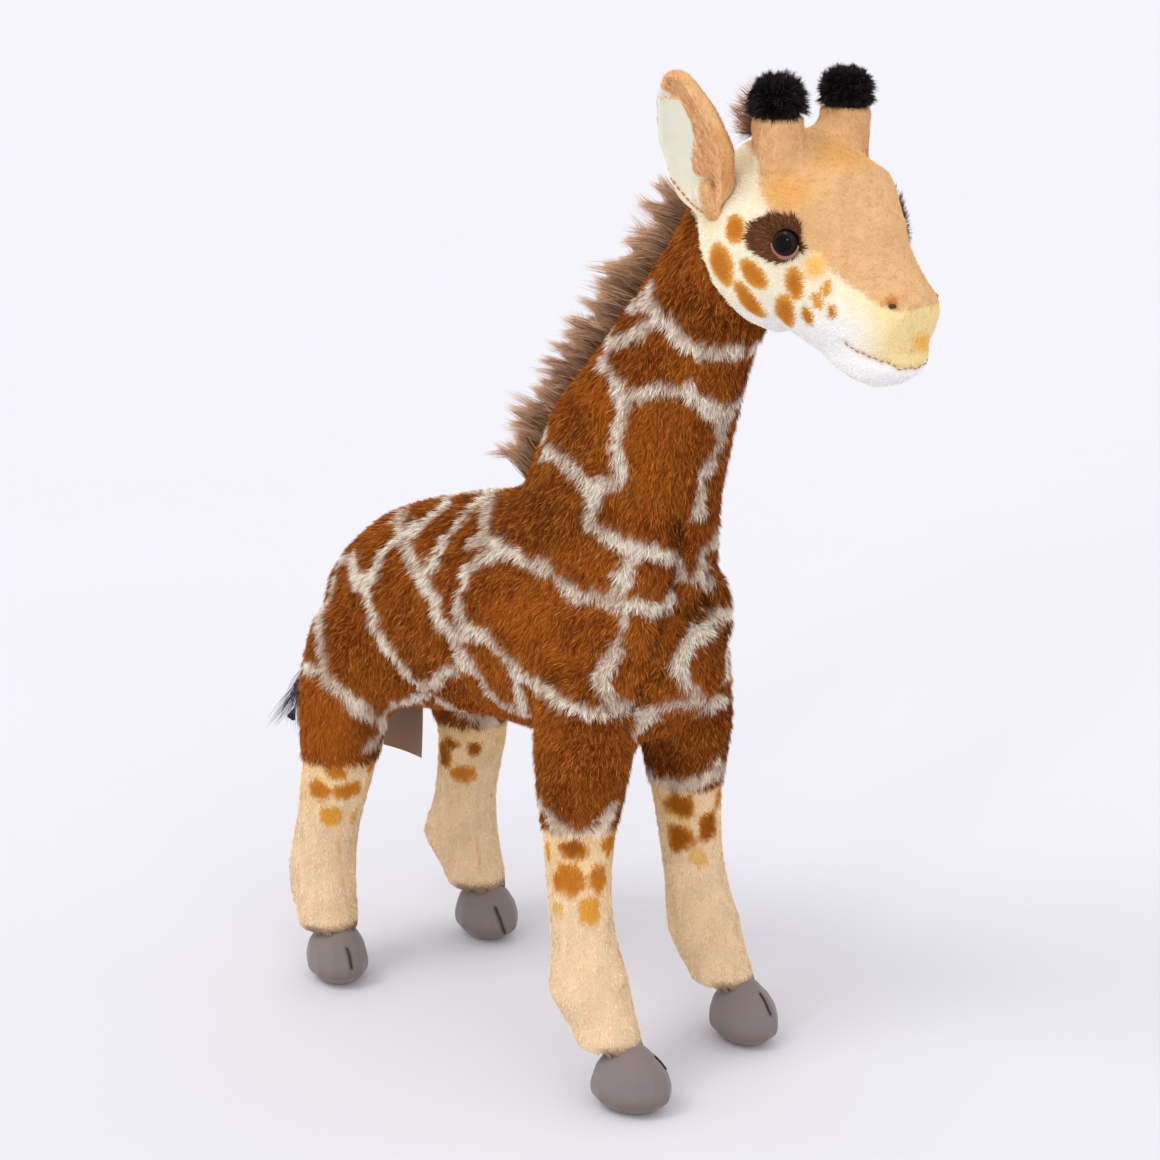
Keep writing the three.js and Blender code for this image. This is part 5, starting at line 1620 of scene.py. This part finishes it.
class EarFrame:
    """The foot of an ear, the way up it and the way across it to its front edge."""

    def __init__(self, side, sign):
        joint = f"ear_flex_{side}"
        self.foot = JOINTS[joint]
        self.across = AXES[joint] if AXES[joint].x > 0 else -AXES[joint]
        leaf = [v.co - self.foot for v in frame["nodes"][f"ear_back_{side}"].data.vertices]
        tip = max(leaf, key=lambda co: co.length)
        self.along = (tip - self.across * tip.dot(self.across)).normalized()
        self.length = tip.dot(self.along)
        self.out = self.across.cross(self.along) * sign
        self.axes = np.array([self.across, self.along, self.out])

    def local(self, places):
        return (np.array(places) - np.array(self.foot)) @ self.axes.T

    def world(self, places):
        return places @ self.axes + np.array(self.foot)


EAR_FRAMES = {side: EarFrame(side, sign) for side, sign in SIDES}


def shaped_ear(side, mesh):
    """The ear with a fuller rear edge and a more pointed tip."""
    across, along, out = EAR_FRAMES[side].local(points_of(mesh)).T
    low = np.clip(1 - along / EAR_FOOT_HEIGHT, 0, 1.2) ** 1.5
    rear = smooth_step(*EAR_REAR_ACROSS, across) * smooth_step(*EAR_REAR_ALONG, along)
    across = across - (EAR_EDGE_FULLER + EAR_FOOT_FULLER * low) * rear
    tip = np.clip((along - EAR_TIP_START) / (EAR_FRAMES[side].length - EAR_TIP_START), 0, 1.1) ** 2
    across = across * (1 - EAR_TIP_SHARE * tip)
    along = along + EAR_TIP_LONGER * tip
    return move_points(mesh, EAR_FRAMES[side].world(np.stack([across, along, out], 1)))


def ear_leaf(side):
    return closed_skin([f"ear_back_{side}", f"ear_lining_{side}"], EAR_VOXEL, EAR_CLOSING, rounds=4)


def ear_fill_place():
    """Halfway between the two feet of the leaf, in the frame that both ears share."""
    feet = [on_skin(tree_of(ear_leaf("right")), pixel) for pixel in EAR_FEET]
    return EAR_FRAMES["right"].local(feet).mean(axis=0)


def ear_skin(side, sign):
    """One closed skin over an ear and the fill between its feet."""
    leaf = ear_leaf(side)
    width, height, depth = EAR_FILL
    place = Matrix.Translation(EAR_FRAMES[side].world(ear_fill))
    turn = Matrix(EAR_FRAMES[side].axes.T.tolist()).to_4x4()
    ball = bmesh.new()
    ball.from_mesh(leaf)
    size = Matrix.Diagonal((width, height, depth * sign, 1))
    bmesh.ops.create_icosphere(ball, subdivisions=3, radius=1, matrix=place @ turn @ size)
    ball.to_mesh(leaf)
    ball.free()
    return shaped_ear(side, smoothed(remeshed(leaf, EAR_VOXEL), 6))


ear_fill = ear_fill_place()
ear_skins = {side: ear_skin(side, sign) for side, sign in SIDES}
ear_tree = tree_of(ear_skins["right"])
# The fold and the stitched edge, in the frame that both ears share
ear_fold, ear_stitch = (
    EAR_FRAMES["right"].local(traced(ear_tree, line)) for line in (EAR_FOLD, EAR_STITCH)
)


EAR_STITCH_LIFT = 0.8 * MM
EAR_STITCH_STEP = 1 * MM
EAR_STITCH_LENGTH = 4 * MM
EAR_THREAD = 0.6 * MM
EAR_LOOK = dict(FACE_LOOK, comb=combed(-0.2, 0, 1))
EAR_PILE = 2.8 * MM
EDGE_NAP, LINING_NAP = 3.4 * MM, 1.2 * MM
FOLD_FADE = 0.8 * MM
fold_across, stitch_across = (curve(line[:, [1, 0]]) for line in (ear_fold, ear_stitch))


class EarColours:
    """The colours and the borders of one ear."""

    def __init__(self, side):
        self.frame = EAR_FRAMES[side]
        lining = shaped_ear(side, remeshed(node_copy([f"ear_lining_{side}"]), EAR_VOXEL))
        self.lining_tree = tree_of(lining)

    def past_stitch(self, points):
        """How far past the stitched edge, towards the front, each place is."""
        across, along = self.frame.local(points)[:, :2].T
        return np.where(along < ear_stitch[:, 1].max(), across - stitch_across(along), 1)

    def past_fold(self, points):
        """How far past the fold, towards the front edge, each place is."""
        across, along = self.frame.local(points)[:, :2].T
        return across - fold_across(along)

    def outer(self, points):
        away = np.array([self.lining_tree.find_nearest(p)[3] for p in points])
        return (away > EAR_LINING_REACH) | (self.past_stitch(points) < 0)

    def inner(self, points):
        return ~self.outer(points)

    def back(self, points, normals, rng):
        warm = smooth_step(-1, 1, noise("warm", points))
        peach = mixed(linear(PEACH), linear(EAR_PEACH), warm * 0.8)
        across, along = self.frame.local(points)[:, :2].T
        rim = 1 - smooth_step(*EAR_RIM_FADE, across)
        rim *= 1 - smooth_step(EAR_RIM, EAR_RIM * 1.6, along)
        return mixed(peach, linear(EAR_EDGE), rim)

    def lining(self, points, normals, rng):
        share = smooth_step(-FOLD_FADE, FOLD_FADE, self.past_fold(points))
        return mixed(linear(LINING), linear(PEACH), share)

    def nap(self, points):
        return np.where(self.past_fold(points) > 0, EDGE_NAP, LINING_NAP)


def make_ear(side, seed):
    body = f"ear_{side}"
    skin = ear_skins[side]
    ear = EarColours(side)
    back = kept_faces(skin, ear.outer, f"ear_plush_{side}")
    lining = kept_faces(skin, ear.inner, f"ear_lining_cloth_{side}")
    painted(back, ear.back(points_of(back.data), None, None) * 0.9, backing)
    painted(lining, ear.lining(points_of(lining.data), None, None), velour)
    placed(back, "face", body, f"ear_back_{side}")
    placed(lining, "lining", body, f"ear_lining_{side}")
    look = dict(EAR_LOOK, colour=ear.back, length=EAR_PILE)
    pile_on(f"ear_pile_{side}", back, look, seed, velour, "face", body)
    look = dict(EAR_LOOK, colour=ear.lining, length=ear.nap)
    pile_on(f"ear_nap_{side}", lining, look, seed + 5, velour, "lining", body)
    skin_tree = tree_of(skin)
    line = [skin_tree.find_nearest(Vector(p)) for p in EAR_FRAMES[side].world(ear_stitch)]
    seam = evenly([near + normal * EAR_STITCH_LIFT for near, normal, _, _ in line], EAR_STITCH_STEP)
    sewing = tubes(f"ear_stitch_{side}", stitches(seam, EAR_STITCH_LENGTH, EAR_THREAD))
    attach(painted(sewing, linear(MOUTH_THREAD), thread), body)


for side, sign in SIDES:
    make_ear(side, seed=81 + sign)

# Mane, forelock and tail

MANE_PARTING = (590, 430)  # above it the hair is shorter, and so it is near the head
MANE_PARTING_REACH = 24 * MM
MANE_PARTING_FADE = (-2 * MM, 2 * MM)
MANE_TOP_REACH = 34 * MM
MANE_CUT = 0.42  # how much shorter the hair is just above the parting
MANE_TOP_CUT = 0.5  # and at the upper end
MANE_VOXEL = 2 * MM
MANE_ROOT_REACH = 9 * MM
MANE_ROOT_SCATTER = 0.5 * MM
MANE_DENSITY = 3.1e6
MANE_LOOK = {
    "lock": 60, "stray": 0.26, "length": 41 * MM, "droop": 0.12, "gather": 0.78, "width": 0.44 * MM,
    "fade": 1.2, "shortest": 0.55,
}
FORELOCK_DENSITY = 2.0e6
FORELOCK_INSET = 2 * MM
FORELOCK_LOOK = {"length": 22 * MM, "steps": 5, "fade": 1.6}
TAIL_VOXEL = 1.4 * MM
TAIL_DENSITY = 0.7e6
TAIL_INSET = 5 * MM
TAIL_BARE = 0.4  # the share of the tuft's height, from below, without roots
TAIL_LOOK = {
    "stray": 0.22, "length": 36 * MM, "gather": 0.6, "width": 0.35 * MM, "root": TAIL_ROOT,
    "tip": TAIL_TIP, "fade": 1.5,
}


def skin_roots(tree, node, density, reach, rng):
    """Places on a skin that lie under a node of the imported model."""
    core = smooth_copy([node], MANE_VOXEL, 4)
    roots, _ = sampled(core, density, rng)
    found = [tree.find_nearest(Vector(p)) for p in roots]
    kept = [(near, normal) for near, normal, _, away in found if away < reach]
    return np.array([n for n, _ in kept]), np.array([n for _, n in kept])


def make_mane():
    rng = np.random.default_rng(91)
    roots, normals = skin_roots(body_tree, "mane", MANE_DENSITY, MANE_ROOT_REACH, rng)
    roots += rng.normal(0, MANE_ROOT_SCATTER, roots.shape)
    low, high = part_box("mane")
    parting = on_skin(body_tree, MANE_PARTING).z
    rise = smooth_step(0, 0.3, (roots[:, 2] - low.z) / (high.z - low.z))
    ways = unit(normals * 0.4 + mixed(np.array([-0.8, 0, 0.85]), np.array([-1, 0, 0.3]), rise))

    def trim(places):
        above = places[:, 2] - parting
        cut = MANE_CUT * np.exp(-above / MANE_PARTING_REACH) * smooth_step(*MANE_PARTING_FADE, above)
        return (1 - cut) * (1 - MANE_TOP_CUT * smooth_step(MANE_TOP_REACH, 0, high.z - places[:, 2]))

    mane = dress(long_hair("mane_hair", roots, ways, dict(MANE_LOOK, trim=trim), 92), hair)
    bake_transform(mane)
    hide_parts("mane")


def make_forelock():
    core = hair_core("forelock_core", "forelock", FORELOCK_INSET, MANE_ROOT, "mane", "head")
    roots, normals = sampled(core.data, FORELOCK_DENSITY, np.random.default_rng(95))
    ways = unit(normals * 0.5 + [-0.8, 0, 0.5])
    hair_on("forelock_hair", roots, ways, FORELOCK_LOOK, 96, "mane", "head")


def make_tail():
    tail = new_piece("tail_plush", smooth_copy(["tail"], TAIL_VOXEL, rounds=6))
    painted(tail, coat_colour(points_of(tail.data), None, np.random.default_rng(7)) * 0.6, backing)
    placed(tail, "fur", "tail", "tail")
    look = dict(FUR_LOOK, comb=combed(-0.5, 0, -1), length=5 * MM, density=1.3e6)
    pile_on("tail_pile", tail, look, 97, plush, "fur", "tail")
    core = hair_core("tail_tuft_core", "tail_tuft", TAIL_INSET, TAIL_ROOT, "tail", "tail")
    low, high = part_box("tail_tuft")
    roots, normals = sampled(core.data, TAIL_DENSITY, np.random.default_rng(98))
    kept = roots[:, 2] > low.z + (high.z - low.z) * TAIL_BARE
    ways = unit(normals[kept] * 0.3 + [-0.45, 0, -1.0])
    hair_on("tail_tuft_hair", roots[kept], ways, TAIL_LOOK, 99, "tail", "tail")


make_mane()
make_forelock()
make_tail()

# The bare label in the belly seam: woven cloth that curls a little

LABEL_COLUMNS = 16
LABEL_ROWS = 20
LABEL_CURL = 1.6 * MM
LABEL_SWING = 2.2 * MM


def make_label():
    low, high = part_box("sewn_label")
    width, drop = high.x - low.x, high.z - low.z
    verts, faces = [], []
    for row in range(LABEL_ROWS + 1):
        for column in range(LABEL_COLUMNS + 1):
            across, down = column / LABEL_COLUMNS, row / LABEL_ROWS
            curl = LABEL_CURL * math.sin(math.pi * across) * down - LABEL_SWING * down * down
            verts.append((low.x + width * across, (low.y + high.y) / 2 + curl, high.z - drop * down))
    for row in range(LABEL_ROWS):
        for column in range(LABEL_COLUMNS):
            a = row * (LABEL_COLUMNS + 1) + column
            faces.append([a, a + 1, a + LABEL_COLUMNS + 2, a + LABEL_COLUMNS + 1])
    label = dress(new_piece("label_cloth", mesh_from("label", verts, faces)), cloth)
    placed(label, "label", "torso", "sewn_label")


make_label()

# The hidden parts keep their solids, with a material for each

wire_steel = plain_material("wire steel", STEEL, 0.35, fine=2500, contrast=0.08, metal=1)
white_plastic = plain_material("white plastic", WHITE_PLASTIC, 0.45, fine=1200, contrast=0.05)
for name, node in frame["nodes"].items():
    if "wire" in name or name == "torso_frame":
        dress(node, wire_steel)
    elif "washer" in name or "insole" in name:
        dress(node, white_plastic)

# Floor and light
FLOOR_REACH = 30
SKY = (0.97, 0.97, 1.0)
SKY_STRENGTH = 0.97
SUNS = (
    ("catch", (0.25, -0.87, 0.22), 8, 0.34),
    ("key", (-0.25, -1.0, 1.5), 25, 0.75),
    ("front", (1.0, -0.6, 0.8), 40, 0.32),
)


def make_stage():
    corners = [(-1, -1), (1, -1), (1, 1), (-1, 1)]
    mesh = mesh_from("floor", [(x * FLOOR_REACH, y * FLOOR_REACH, 0) for x, y in corners], [(0, 1, 2, 3)])
    floor = new_object("floor", mesh)
    dress(floor, plain_material("floor", FLOOR, 0.9, fine=3, contrast=0.004, bump=0))
    world = bpy.data.worlds.new("studio")
    world.use_nodes = True
    background = world.node_tree.nodes["Background"]
    background.inputs["Color"].default_value = (*SKY, 1)
    background.inputs["Strength"].default_value = SKY_STRENGTH
    bpy.context.scene.world = world
    for name, way, spread, strength in SUNS:
        data = bpy.data.lights.new(name, "SUN")
        data.angle = math.radians(spread)
        data.energy = strength
        lamp = new_object(name, data)
        lamp.rotation_mode = "QUATERNION"
        lamp.rotation_quaternion = (-Vector(way)).to_track_quat("-Z", "Y")


make_stage()
